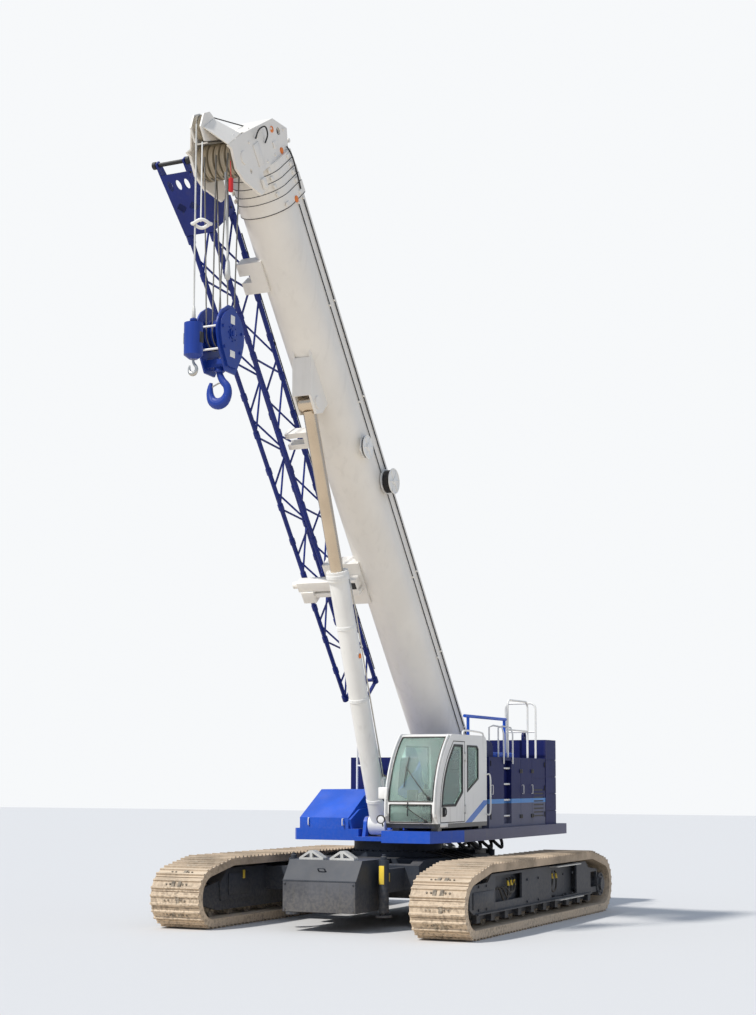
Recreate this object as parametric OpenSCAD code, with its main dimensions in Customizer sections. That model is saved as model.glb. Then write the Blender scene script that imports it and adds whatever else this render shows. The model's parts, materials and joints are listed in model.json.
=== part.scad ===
// Crawler crane with a five-section telescopic boom, its lattice jib stowed along the right side.
// Millimetres. X runs forward, Y to the operator's left, Z up. The origin is on the ground under
// the slewing axis. Side views are drawn in X and Z. Shapes on the boom are drawn in distance
// along the boom from its pivot and height above its centre line.

/* [Whole machine] */
// Running clearance between pieces that seat on each other
seat_gap = 0.3; // [0.2:0.1:1]

/* [Tracks] */
// Distance between the centre lines of the two tracks
gauge = 4660; // [4500:10:4900]
// Half the length of belt that lies flat on the ground
ground_half = 3248; // [3100:1:3400]
// Radius of the belt's outer edge round each end
end_r = 512; // [480:1:540]
// Height of the belt's top run
belt_top = 1164; // [1120:1:1200]
// Where the top run bends down, measured from the middle of the track
shoulder_x = 2560; // [2400:10:2700]
// Width of a track shoe
shoe_w = 920; // [800:10:960]
// Height of the bars on each shoe
bar_h = 32; // [20:1:40]
// Thickness of a shoe together with its chain link
link_h = 125; // [100:1:140]
// Length of belt taken by one shoe
shoe_pitch = 262; // [240:1:290]
// Bottom rollers on each side
roller_count = 10; // [8:1:11]
// Radius of a bottom roller
roller_r = 125; // [110:1:135]
// Width of the track frame's inner beam
frame_w = 500; // [440:10:540]

/* [Carbody] */
// Length of the carbody
carbody_l = 3400; // [3000:10:3600]
// Width of the carbody
carbody_w = 2300; // [2100:10:2500]
// Height of the carbody's underside above the ground
carbody_z0 = 470; // [430:10:520]
// Height of the carbody's top
carbody_z1 = 1120; // [1080:10:1140]
// Outer radius of the slewing ring
ring_r = 780; // [700:10:820]
// Length of each carbody weight
weight_l = 1400; // [1200:10:1500]
// Width of each carbody weight
weight_w = 1320; // [1200:10:1400]

/* [Superstructure] */
// Height of the deck's underside
deck_z0 = 1400; // [1380:5:1440]
// Height of the deck's top
deck_z1 = 1600; // [1570:5:1640]
// Half the width of the deck
deck_half_w = 1600; // [1560:10:1700]
// Rear end of the machinery housing
housing_x0 = -3680; // [-3800:10:-3600]
// Front end of the left machinery housing
housing_x1 = -650; // [-760:10:-620]
// Outer face of the machinery housings, measured from the middle
housing_y = 1490; // [1450:10:1520]
// Top of the machinery housing
housing_z1 = 2870; // [2800:10:3000]
// Thickness of the housing's sheet walls
sheet_t = 30; // [20:1:40]
// Rear face of the counterweight
tail_x = -4500; // [-4600:10:-4400]
// Top of the counterweight
tail_z1 = 3250; // [3100:10:3400]

/* [Cab] */
// Inner side of the cab, towards the boom
cab_y0 = 540; // [530:5:600]
// Outer side of the cab
cab_y1 = 1490; // [1450:5:1510]
// Underside of the cab
cab_z0 = 1650; // [1640:5:1700]
// Thickness of the cab's walls
cab_wall = 60; // [50:1:70]
// Thickness of the window glass
glass_t = 8; // [6:1:10]

/* [Boom] */
// Boom angle above the ground
boom_deg = 50.6; // [46:0.1:54]
// Boom pivot, measured forward from the slewing axis
pivot_x = -2300; // [-2400:10:-2200]
// Height of the boom pivot
pivot_z = 2600; // [2550:10:2650]
// Half the width of the base section
boom_half_w = 420; // [400:5:440]
// Depth of the base section
boom_h = 940; // [900:5:980]
// Wall thickness of the boom sections
boom_t = 14; // [10:1:20]
// Distance from the pivot to the front end of the base section
base_end = 11640; // [11400:10:11700]
// Length of each section's collar
collar_l = 130; // [110:1:140]
// How much each section is narrower and shallower than the one outside it, on each side
section_step = 35; // [30:1:38]
// Main sheave axle along the boom from the front end of the last collar
sheave_out = 390; // [370:10:410]
// Main sheave axle below the boom's centre line
sheave_b = -1000; // [-1020:10:-980]
// Radius of the main sheaves
sheave_r = 270; // [250:5:280]
// Auxiliary sheave axle along the boom from the main sheave axle
aux_out = 600; // [580:10:620]
// Auxiliary sheave axle below the boom's centre line
aux_b = -1240; // [-1260:5:-1220]
// Radius of the auxiliary sheave
aux_r = 190; // [180:5:200]

/* [Lift cylinder] */
// Foot pin, measured forward from the slewing axis
foot_x = 750; // [730:10:770]
// Height of the foot pin
foot_z = 1680; // [1670:10:1700]
// Rod eye along the boom from the pivot
eye_a = 8350; // [8300:10:8400]
// Rod eye below the boom's centre line
eye_b = -760; // [-780:10:-750]
// Outer radius of the barrel
barrel_r = 168; // [150:1:175]
// Length of the barrel from its foot pin
barrel_l = 4600; // [4400:10:4700]
// Radius of the rod
rod_r = 112; // [95:1:120]

/* [Hooks] */
// Height of the main block's axle below the main sheaves
block_drop = 2660; // [2500:10:2800]
// Radius of the hook block's sheaves
block_r = 230; // [210:5:240]
// Length of the auxiliary rope down to its weight
ball_drop = 2950; // [2800:10:3100]
// Radius of a hoist rope
rope_r = 11; // [8:1:13]

/* [Jib] */
// Width of the jib's lattice
jib_w = 420; // [380:10:440]
// Radius of the jib's chords
chord_r = 42; // [36:1:45]
// Radius of the jib's lacing
lace_r = 18; // [14:1:22]
// Bays of lacing
bay_count = 13; // [11:1:14]

/* [Hidden] */
fine = 64;

function unit(v) = v / norm(v);
function arc(c, r, a0, a1, n) =
    [for (i = [0:n]) let (a = a0 + (a1 - a0) * i / n) c + r * [cos(a), sin(a)]];
function mirrored(points) = [for (i = [len(points) - 1:-1:0]) [-points[i][0], points[i][1]]];
// A convex outline moved inwards by d on every side
function inward(points, d) = let (n = len(points)) [for (i = [0:n - 1])
    let (u = unit(points[i] - points[(i + n - 1) % n]), v = unit(points[(i + 1) % n] - points[i]))
    let (p = [-u[1], u[0]], q = [-v[1], v[0]]) points[i] + d * (p + q) / (1 + p * q)];

// A side-view outline given its thickness between two Y values
module side_plate(y0, y1) translate([0, y1, 0]) rotate([90, 0, 0]) linear_extrude(y1 - y0) children();
// A plate across the machine along a line of the side view, t thick to the right of p to q
module cross_plate(p, q, t, y0, y1) side_plate(y0, y1)
    let (n = t * [unit(q - p)[1], -unit(q - p)[0]]) polygon([p, q, q + n, p + n]);
// A round bar, drum or bore across the machine
module cross_bar(x, z, r, y0, y1, fn = fine)
    translate([x, y1, z]) rotate([90, 0, 0]) cylinder(h = y1 - y0, r = r, $fn = fn);
module post(x, y, z0, z1, r, fn = 32) translate([x, y, z0]) cylinder(h = z1 - z0, r = r, $fn = fn);
module block(lo, hi) translate(lo) cube(hi - lo);
module both_sides() for (s = [-1, 1]) scale([1, s, 1]) children();
module on_side(s) scale([1, s, 1]) children();
// A bar between two points, turned a little about itself so that no two bars share an edge
module strut(p, q, r, fn = 8) {
    d = q - p;
    translate(p) rotate([0, acos(d[2] / norm(d)), atan2(d[1], d[0])]) rotate(11)
        cylinder(h = norm(d), r = r, $fn = fn);
}

// Tracks
track_y = gauge / 2;
path_r = end_r - bar_h;
path_top = belt_top - bar_h;
shoulder_r = 300;
chain_w = 280;
wheel_r = path_r - link_h - 1.2;
roller_z = bar_h + link_h + roller_r + seat_gap;
roller_x = [for (k = [0:roller_count - 1])
    (ground_half - 450) * (2 * k / (roller_count - 1) - 1)];
// The belt's path is a list of stretches, each one [length, turn in degrees], starting at the rear
// end of the ground contact and running forward, up round the front end and back along the top.
drop = [ground_half - shoulder_x, path_r + shoulder_r - path_top + bar_h];
slope = asin((shoulder_r - path_r) / norm(drop)) - atan2(drop[1], drop[0]);
slope_l = sqrt(drop * drop - pow(shoulder_r - path_r, 2));
bend = [shoulder_r * slope * PI / 180, slope];
end_turn = [path_r * (180 - slope) * PI / 180, 180 - slope];
stretches = [[2 * ground_half, 0], end_turn, [slope_l, 0], bend, [2 * shoulder_x, 0], bend,
    [slope_l, 0], end_turn];
function sum_to(n) = n == 0 ? 0 : stretches[n - 1][0] + sum_to(n - 1);
belt_l = sum_to(8);
shoe_n = round(belt_l / shoe_pitch);
shoe_l = belt_l / shoe_n;
// Point at distance s along the path and h outside it: walks stretch by stretch
function belt_at(s, h, i = 0, p = [-ground_half, bar_h], d = 0) =
    let (len = stretches[i][0], turn = stretches[i][1], t = min(s, len))
    let (q = turn == 0 ? p + t * [cos(d), sin(d)]
        : let (r = len / (turn * PI / 180), e = d + turn * t / len)
            p + r * [sin(e) - sin(d), cos(d) - cos(e)],
        e = d + turn * t / len)
    s <= len || i == 7 ? q + h * [sin(e), -cos(e)] : belt_at(s - len, h, i + 1, q, e);
// One shoe's outer edge: [share of the shoe's length, height above the path as a share of a bar]
shoe_profile = [[0.03, -0.55], [0.03, 0], [0.14, 0], [0.18, 1], [0.27, 1], [0.31, 0], [0.64, 0],
    [0.68, 0.8], [0.77, 0.8], [0.81, 0], [0.97, 0], [0.97, -0.55]];
module track(side) {
    outer = [for (i = [0:shoe_n - 1]) for (p = shoe_profile) belt_at((i + p[0]) * shoe_l, p[1] * bar_h)];
    inner = [for (i = [0:4 * shoe_n - 1]) belt_at(i * shoe_l / 4, -link_h)];
    color("tan") side_plate(side * track_y - shoe_w / 2, side * track_y + shoe_w / 2)
        difference() {
            polygon(outer);
            polygon(inner);
        }
}
module track_left() track(1);
module track_right() track(-1);

cheek_y = [chain_w / 2 + 20, chain_w / 2 + 80];
module track_wheel(side, x, holes) color("dimgray") translate([0, side * track_y, 0]) difference() {
    union() {
        cross_bar(x, end_r, wheel_r, -chain_w / 2, chain_w / 2);
        cross_bar(x, end_r, 150, -cheek_y[0] + 1, cheek_y[0] - 1);
    }
    for (k = [0:holes - 1]) let (a = k * 360 / holes)
        cross_bar(x + 240 * cos(a), end_r + 240 * sin(a), 42, -chain_w, chain_w, 24);
}
module sprocket_left() track_wheel(1, -ground_half, 8);
module sprocket_right() track_wheel(-1, -ground_half, 8);
module idler_left() track_wheel(1, ground_half, 6);
module idler_right() track_wheel(-1, ground_half, 6);
module rollers(side) color("dimgray") translate([0, side * track_y, 0]) for (x = roller_x) {
    cross_bar(x, roller_z, roller_r, -chain_w / 2, chain_w / 2, 32);
    cross_bar(x, roller_z, 45, -cheek_y[0] + seat_gap, cheek_y[0] - seat_gap, 24);
}
module rollers_left() rollers(1);
module rollers_right() rollers(-1);

// The frame's outer side plate, seen between the shoes: openings are [x0, z0, x1, z1]
plate_y = [frame_w / 2 + 90, frame_w / 2 + 125];
plate_openings = [[1000, 520, 2230, 930], [-1880, 420, -490, 930], [-3040, 480, -2700, 760]];
module track_frame(side) color("dimgray") translate([0, side * track_y, 0]) on_side(side) {
    low = roller_z + roller_r + 8;
    beam = [[-2650, low], [2650, low], [2700, 700], [2450, 950], [-2450, 950], [-2700, 700]];
    cheek_end = ground_half + 130;
    cheek = [[-cheek_end, 400], [-2700, 260], [2700, 260], [cheek_end, 400], [cheek_end, 620],
        [2600, 760], [-2600, 760], [-cheek_end, 620]];
    plate = [[-3080, 380], [3150, 380], [3330, 470], [3330, 700], [3200, 830], [2560, 850],
        [2400, 970], [-2400, 970], [-2560, 850], [-3080, 800]];
    side_plate(-frame_w / 2, frame_w / 2) polygon(beam);
    for (s = [-1, 1]) side_plate(min(s * cheek_y[0], s * cheek_y[1]), max(s * cheek_y[0], s * cheek_y[1]))
        polygon(cheek);
    side_plate(plate_y[0], plate_y[1]) difference() {
        polygon(plate);
        for (o = plate_openings) translate([o[0], o[1]]) square([o[2] - o[0], o[3] - o[1]]);
    }
    for (x = [-2620, -2080, -200, 700, 2400]) block([x, frame_w / 2 - 1, 480], [x + 90, plate_y[0] + 1, 900]);
    block([-2600, plate_y[1] - 1, 372], [3100, plate_y[1] + 60, 392]);
    for (x = roller_x) block([x - 75, cheek_y[1] - 1, 230], [x + 75, frame_w / 2 + 60, low + 20]);
    cross_bar(-ground_half, end_r, 215, cheek_y[1] - 1, plate_y[1] + 20);
    cross_bar(-ground_half, end_r, 120, plate_y[1] + 19, plate_y[1] + 60);
}
module frame_left() track_frame(1);
module frame_right() track_frame(-1);

axle_x = 800;
jack_x = 2400;
jack_y = 830;
module carbody() color("dimgray") {
    half_l = carbody_l / 2;
    half_w = carbody_w / 2;
    difference() {
        side_plate(-half_w, half_w) polygon([[-half_l, carbody_z0 + 150], [-half_l + 300, carbody_z0],
            [half_l - 300, carbody_z0], [half_l, carbody_z0 + 150], [half_l, carbody_z1 - 90],
            [half_l - 250, carbody_z1], [-half_l + 250, carbody_z1], [-half_l, carbody_z1 - 90]]);
        post(0, 0, carbody_z0 - 1, carbody_z1 + 1, ring_r - 260, fine);
        for (s = [-1, 1]) for (t = [-1, 1]) block([s * 1450 - 180, t * 700 - 260, carbody_z0 + 300],
            [s * 1450 + 180, t * 700 + 260, carbody_z1 + 1]);
    }
    both_sides() for (s = [-1, 1]) {
        block([s * axle_x - 260, half_w - 1, 520], [s * axle_x + 260, track_y - frame_w / 2, 930]);
        block([min(s * (half_l - 1), s * jack_x), jack_y - 60, 620],
            [max(s * (half_l - 1), s * jack_x), jack_y + 60, 1000]);
        post(s * jack_x, jack_y, 300, 1150, 85);
        post(s * jack_x, jack_y, 260, 301, 45);
        post(s * jack_x, jack_y, 225, 261, 130);
    }
}
module slew_ring() color("dimgray") difference() {
    union() {
        post(0, 0, carbody_z1 + seat_gap, deck_z0 - seat_gap, ring_r, fine);
        post(0, 0, carbody_z1 + seat_gap, carbody_z1 + 90, ring_r + 60, fine);
    }
    post(0, 0, carbody_z1 - 1, deck_z0, ring_r - 200, fine);
}
module carbody_weight(s) color("darkslategray") scale([s, 1, 1]) {
    x0 = carbody_l / 2 + seat_gap;
    x1 = carbody_l / 2 + weight_l;
    side_plate(-weight_w / 2, weight_w / 2) polygon([[x0 + 350, 320], [x1, 320], [x1, 820],
        [x1 - 240, carbody_z1 + 30], [x0 + 350, carbody_z1 + 30]]);
    side_plate(-weight_w / 2 + 60, weight_w / 2 - 60) polygon([[x0, 400], [x0 + 351, 400],
        [x0 + 351, carbody_z1 - 60], [x0, carbody_z1 - 130]]);
    block([x1 - 1, -weight_w / 2, 812], [x1 + 14, weight_w / 2, 834]);
}
module weight_front() carbody_weight(1);
module weight_rear() carbody_weight(-1);

// Steps: two plates on each track frame, and two open wedges on top of each carbody weight
module steps() color("lightgray") {
    both_sides() translate([0, track_y, 0]) {
        block([-1700, plate_y[1] + seat_gap, 950], [-400, plate_y[1] + 150, 966]);
        block([-1800, plate_y[1] + 60 + seat_gap, 376], [-500, plate_y[1] + 160, 392]);
    }
    wedge_x = carbody_l / 2 + weight_l - 420;
    for (s = [-1, 1]) scale([s, 1, 1]) for (y = [-500, 60])
        translate([wedge_x, y, carbody_z1 + 30 + seat_gap]) rotate([90, 0, 90]) linear_extrude(160)
            difference() {
                polygon([[0, 0], [440, 0], [440, 35], [250, 150], [190, 150], [0, 35]]);
                polygon([[70, 35], [195, 35], [195, 110]]);
                polygon([[370, 35], [245, 35], [245, 110]]);
            }
}

// Superstructure
well_half = 330;
well_z = 1470;
deck_front = 1750;
hood_x = 950;
deck_tail = tail_x - 180;
module deck() color("royalblue") {
    difference() {
        translate([0, 0, deck_z0]) linear_extrude(deck_z1 - deck_z0) polygon([[deck_tail + 60, -deck_half_w],
            [hood_x - 60, -deck_half_w], [hood_x, -deck_half_w + 60], [hood_x, -well_half],
            [hood_x + 150, -well_half], [hood_x + 150, well_half], [deck_front, well_half + 150],
            [deck_front, 1370], [800, deck_half_w], [deck_tail + 60, deck_half_w],
            [deck_tail, deck_half_w - 60], [deck_tail, -deck_half_w + 60]]);
        block([200, -well_half, well_z], [hood_x + 151, well_half, deck_z1 + 1]);
        both_sides() block([-3400, 700, deck_z0 - 1], [-1100, deck_half_w - 60, deck_z0 + 120]);
    }
    both_sides() side_plate(205, 265) {
        translate([foot_x, foot_z]) circle(r = 140, $fn = fine);
        polygon([[foot_x - 300, well_z - 1], [foot_x + 190, well_z - 1], [foot_x + 140, foot_z],
            [foot_x - 140, foot_z]]);
    }
}
tower_y = 475;
tower_t = 45;
boss_t = 26;
module boom_towers() color("royalblue") {
    outline = [[housing_x0, deck_z1], [900, deck_z1], [960, deck_z1 + 160], [600, deck_z1 + 330],
        [-600, deck_z1 + 420], [pivot_x + 330, pivot_z + 60], [pivot_x + 160, pivot_z + 220],
        [pivot_x - 160, pivot_z + 220], [-3480, 2760], [housing_x0, 2700]];
    both_sides() {
        side_plate(tower_y, tower_y + tower_t) difference() {
            polygon(outline);
            translate([-1150, 1850]) circle(r = 110, $fn = 48);
        }
        cross_bar(pivot_x, pivot_z, 190, boom_half_w + boss_t + 3, tower_y + tower_t + 30);
    }
    cross_bar(pivot_x, pivot_z, 90, -tower_y, tower_y);
    block([housing_x0, -tower_y, deck_z1], [housing_x0 + 40, tower_y, 2690]);
}
hood_y = [-1480, -tower_y - tower_t - 5];
hood_outline = [[-1100, deck_z1], [hood_x, deck_z1], [hood_x, 1790], [110, 2280], [-1100, 2280]];
module hood_front() color("royalblue") difference() {
    side_plate(hood_y[0], hood_y[1]) polygon(hood_outline);
    side_plate(hood_y[0] + sheet_t, hood_y[1] - sheet_t) polygon(inward(hood_outline, sheet_t));
    for (x = [-700, -100]) side_plate(hood_y[0] - 1, hood_y[0] + 6)
        translate([x, 1700]) square([10, 520]);
}
ladder_x = [-1790, -1400];
ladder_depth = 90;
rung_r = 18;
// Door joints on the left housing: X of each
joint_x = [-2920, -2300];
module housing(y0, y1, x1) difference() {
    block([housing_x0, y0, deck_z1], [x1, y1, housing_z1]);
    block([housing_x0 + sheet_t, y0 + sheet_t, deck_z1 + sheet_t],
        [x1 - sheet_t, y1 - sheet_t, housing_z1 - sheet_t]);
}
module housing_left() color("midnightblue") {
    difference() {
        union() {
            housing(tower_y + tower_t + 100, housing_y, housing_x1);
            block([ladder_x[0] - sheet_t, housing_y - ladder_depth - sheet_t, deck_z1],
                [ladder_x[1] + sheet_t, housing_y, housing_z1]);
        }
        block([ladder_x[0], housing_y - ladder_depth, deck_z1 + 60],
            [ladder_x[1], housing_y + 1, housing_z1 - 60]);
        for (x = joint_x) block([x, housing_y - 8, deck_z1 + 60], [x + 10, housing_y + 1, housing_z1 - 40]);
        block([housing_x0 + 60, housing_y - 8, 2480], [joint_x[0], housing_y + 1, 2490]);
        for (k = [0:7]) block([housing_x0 + 120, housing_y - 12, 1760 + k * 70],
            [joint_x[0] - 90, housing_y + 1, 1790 + k * 70]);
    }
    // Cover over the valves between cab and housing
    difference() {
        side_plate(760, 1300) polygon(concat([[-1350, housing_z1 - 1], [housing_x1 - 20, housing_z1 - 1]],
            arc([-900, housing_z1 + 60], 230, 0, 90, 5),
            [[-1250, housing_z1 + 290], [-1350, housing_z1 + 200]]));
        side_plate(790, 1270) translate([-1250, housing_z1 + 60]) square([430, 130]);
    }
}
module housing_right() color("midnightblue") difference() {
    housing(-housing_y, -tower_y - tower_t - 100, -1130);
    for (k = [0:9]) block([housing_x0 + 200, -housing_y - 1, 1850 + k * 80],
        [-2450, -housing_y + 12, 1885 + k * 80]);
    for (x = [-2350, -1750]) block([x, -housing_y - 1, deck_z1 + 60],
        [x + 10, -housing_y + 8, housing_z1 - 40]);
    for (k = [0:6]) block([-3300 + k * 130, -1300, housing_z1 - 12],
        [-3230 + k * 130, -800, housing_z1 + 1]);
}
module engine() color("gray")
    block([housing_x0 + 500, -1300, deck_z1 + sheet_t], [-1500, -760, 2600]);
// Winches: [x, z, drum radius, flange radius]
drums = [[-3230, 1960, 210, 300], [-3270, 2560, 170, 240]];
module winches() color("royalblue") for (d = drums) {
    cross_bar(d[0], d[1], d[2], -tower_y, tower_y);
    both_sides() cross_bar(d[0], d[1], d[3], 360, 390);
}
// Counterweight slabs from the bottom up, each one's share of the whole height
slabs = [0.16, 0.2, 0.2, 0.2, 0.24];
function slab_z(k) = k == 0 ? deck_z1 : slab_z(k - 1) + slabs[k - 1] * (tail_z1 - deck_z1);
module counterweight() color("midnightblue") {
    for (k = [0:4]) translate([0, 0, slab_z(k) + seat_gap])
        linear_extrude(slabs[k] * (tail_z1 - deck_z1) - 12) weight_plan(0);
    translate([0, 0, deck_z1 + seat_gap]) linear_extrude(tail_z1 - deck_z1 - 12) weight_plan(14);
    both_sides() difference() {
        side_plate(880, 920) translate([(tail_x + housing_x0) / 2, tail_z1 + 70]) union() {
            circle(r = 90, $fn = 48);
            translate([-90, -90]) square([180, 90]);
        }
        cross_bar((tail_x + housing_x0) / 2, tail_z1 + 70, 45, 879, 921, 48);
    }
}
module weight_plan(d) {
    x0 = tail_x + d;
    x1 = housing_x0 - seat_gap - d;
    y = housing_y + 10 - d;
    polygon([[x1, -y], [x1, y], [x0 + 220, y], [x0 + 60, y - 70], [x0, y - 330], [x0, -y + 330],
        [x0 + 60, -y + 70], [x0 + 220, -y]]);
}

// Rails: a hoop stands on two legs and has round upper corners and a middle bar
rail_r = 20;
hoop_bend = 110;
module hoop(l, h) {
    for (x = [0, l]) post(x, 0, 0, h - hoop_bend, rail_r, 24);
    for (x = [0, l]) translate([x == 0 ? hoop_bend : l - hoop_bend, 0, h - hoop_bend]) rotate([90, 0, 0])
        rotate(x == 0 ? 90 : 0) rotate_extrude(angle = 90, $fn = 48) translate([hoop_bend, 0])
            circle(r = rail_r, $fn = 24);
    translate([hoop_bend, 0, h]) rotate([0, 90, 0]) cylinder(h = l - 2 * hoop_bend, r = rail_r, $fn = 24);
    translate([0, 0, h * 0.48]) rotate([0, 90, 0]) cylinder(h = l, r = rail_r - 4, $fn = 24);
}
// Hoops on the roofs: [x, y, turn, length, height, base height]
hoops = [[-2870, 1420, 0, 1070, 1070, housing_z1], [-3330, 1420, -90, 620, 1070, housing_z1],
    [-700, -1150, 90, 420, 900, 2280]];
module rails() color("white") {
    for (h = hoops) translate([h[0], h[1], h[5] + seat_gap]) rotate(h[2]) hoop(h[3], h[4]);
    for (k = [0:3]) translate([ladder_x[0] + seat_gap, housing_y - ladder_depth / 2, deck_z1 + 200 + k * 290])
        rotate([0, 90, 0]) cylinder(h = ladder_x[1] - ladder_x[0] - 2 * seat_gap, r = rung_r, $fn = 32);
}

// Cab: the windscreen is one arc from the floor to the roof
screen_c = [80, 1900];
screen_r = 1680;
roof_turn = 200;
roof_c = screen_c + (screen_r - roof_turn) * [cos(50), sin(50)];
roof_z = roof_c[1] + roof_turn;
cab_outline = concat([[-540, cab_z0], [1660, cab_z0]], arc(screen_c, screen_r, 0, 50, 8),
    arc(roof_c, roof_turn, 60, 90, 2), arc([-400, roof_z - 140], 140, 90, 180, 3));
// Window and door openings in the cab's left side
door_outline = concat([[500, 1735], [1590, 1735]], arc(screen_c, screen_r - 150, 0, 44, 6),
    [[1020, 3120], [500, 3120]]);
door_pane = concat([[930, 2005], [1545, 2005]], arc(screen_c, screen_r - 215, 5, 41, 5),
    [[1000, 3060], [600, 3060], [600, 2235]]);
quarter_pane = [[-130, 2470], [400, 2240], [400, 3055], [-60, 3055], [-130, 2990]];
right_pane = [[-100, 2250], [900, 2100], [1350, 2200], [1250, 2750], [1000, 3040], [-100, 3040]];
// Front and roof openings: [x0, z0, x1, z1, distance from each side]
front_openings = [[1000, 2090, 2000, 3190, 75], [1300, 1745, 2000, 2045, 95], [250, 3100, 960, 3400, 130]];
rear_opening = [2300, 3000];
hinge_x = 494;
hinge_y = cab_y1 + 16;
hinge_z = [1950, 2850];
hinge_r = 16;
pin_r = 8;
module cab_shell() color("white") {
    difference() {
        side_plate(cab_y0, cab_y1) polygon(cab_outline);
        side_plate(cab_y0 + cab_wall, cab_y1 - cab_wall) polygon(inward(cab_outline, cab_wall));
        side_plate(cab_y1 - cab_wall - 1, cab_y1 + 1) {
            polygon(door_outline);
            polygon(quarter_pane);
        }
        side_plate(cab_y0 - 1, cab_y0 + cab_wall + 1) polygon(right_pane);
        for (o = front_openings) block([o[0], cab_y0 + o[4], o[1]], [o[2], cab_y1 - o[4], o[3]]);
        block([-600, cab_y0 + 130, rear_opening[0]], [-400, cab_y1 - 130, rear_opening[1]]);
    }
    for (x = [-440, 1400]) for (y = [cab_y0 + 60, cab_y1 - 180])
        block([x, y, deck_z1 + seat_gap], [x + 160, y + 120, cab_z0 + 1]);
    for (z = hinge_z) {
        post(hinge_x, hinge_y, z - 79, z + 79, pin_r, 24);
        for (s = [-1, 1]) {
            post(hinge_x, hinge_y, z + s * 65 - 14.7, z + s * 65 + 14.7, hinge_r);
            block([hinge_x - 34, cab_y1 - 1, z + s * 65 - 14.7], [hinge_x, hinge_y, z + s * 65 + 14.7]);
        }
    }
}
door_gap = 5;
module cab_door() color("white") {
    difference() {
        side_plate(cab_y1 - cab_wall, cab_y1) polygon(inward(door_outline, door_gap));
        side_plate(cab_y1 - cab_wall - 1, cab_y1 + 1) polygon(door_pane);
    }
    for (z = hinge_z) difference() {
        union() {
            post(hinge_x, hinge_y, z - 50, z + 50, hinge_r);
            block([hinge_x, cab_y1 + 1, z - 50], [hinge_x + 40, hinge_y, z + 50]);
            block([hinge_x + 13, cab_y1 - 10, z - 50], [hinge_x + 40, hinge_y, z + 50]);
        }
        post(hinge_x, hinge_y, z - 60, z + 60, pin_r + seat_gap);
    }
    block([1480, cab_y1 - 1, 1850], [1530, cab_y1 + 12, 1985]);
    block([1488, cab_y1 + 11, 1860], [1522, cab_y1 + 34, 1975]);
}
glass_in = 14;
module cab_glass() color("teal", 0.4) {
    for (o = front_openings) intersection() {
        side_plate(cab_y0 + o[4] + seat_gap, cab_y1 - o[4] - seat_gap) difference() {
            polygon(inward(cab_outline, glass_in));
            polygon(inward(cab_outline, glass_in + glass_t));
        }
        block([o[0] + seat_gap, cab_y0, o[1] + seat_gap], [o[2] - seat_gap, cab_y1, o[3] - seat_gap]);
    }
    side_plate(cab_y1 - glass_in - glass_t, cab_y1 - glass_in) polygon(inward(quarter_pane, seat_gap));
    side_plate(cab_y0 + glass_in, cab_y0 + glass_in + glass_t) polygon(inward(right_pane, seat_gap));
    block([-540 + glass_in, cab_y0 + 130 + seat_gap, rear_opening[0] + seat_gap],
        [-540 + glass_in + glass_t, cab_y1 - 130 - seat_gap, rear_opening[1] - seat_gap]);
}
module door_glass() color("teal", 0.4)
    side_plate(cab_y1 - glass_in - glass_t, cab_y1 - glass_in) polygon(inward(door_pane, seat_gap));
seat_y = (cab_y0 + cab_y1) / 2;
module seat() color("black") translate([0, seat_y, cab_z0 + cab_wall + seat_gap]) {
    block([-60, -200, 0], [360, 200, 240]);
    side_plate(-250, 250) polygon([[-120, 230], [400, 230], [430, 290], [400, 350], [-60, 330],
        [-140, 900], [-240, 900], [-230, 300]]);
    side_plate(-140, 140) polygon([[-150, 890], [-130, 1080], [-200, 1080], [-225, 890]]);
    both_sides() block([-100, 249, 300], [420, 340, 520]);
    block([900, -110, 0], [1000, 110, 420]);
}

// Boom
boom_mid = -10;
module on_boom() translate([pivot_x, 0, pivot_z]) rotate([0, -boom_deg, 0]) children();
// A boom section's outline across the boom: flat sides and top over a round keel
module boom_profile(w, h, fn = fine) {
    translate([-w, -h / 2 + w]) square([2 * w, h - w]);
    translate([0, -h / 2 + w]) circle(r = w, $fn = fn);
}
module along_boom(a0, a1) translate([a0, 0, boom_mid]) rotate([90, 0, 90]) linear_extrude(a1 - a0) children();
module boom_tube(n, a0, a1) {
    w = boom_half_w - n * section_step;
    h = boom_h - 2 * n * section_step;
    along_boom(a0, a1) difference() {
        boom_profile(w, h);
        boom_profile(w - boom_t, h - 2 * boom_t);
    }
}
module collar(n, a0, a1) along_boom(a0, a1) difference() {
    boom_profile(boom_half_w + 24 - n * 6, boom_h + 48 - n * 12);
    boom_profile(boom_half_w - (n + 1) * section_step + 6, boom_h - 2 * (n + 1) * section_step + 12);
}
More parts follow.
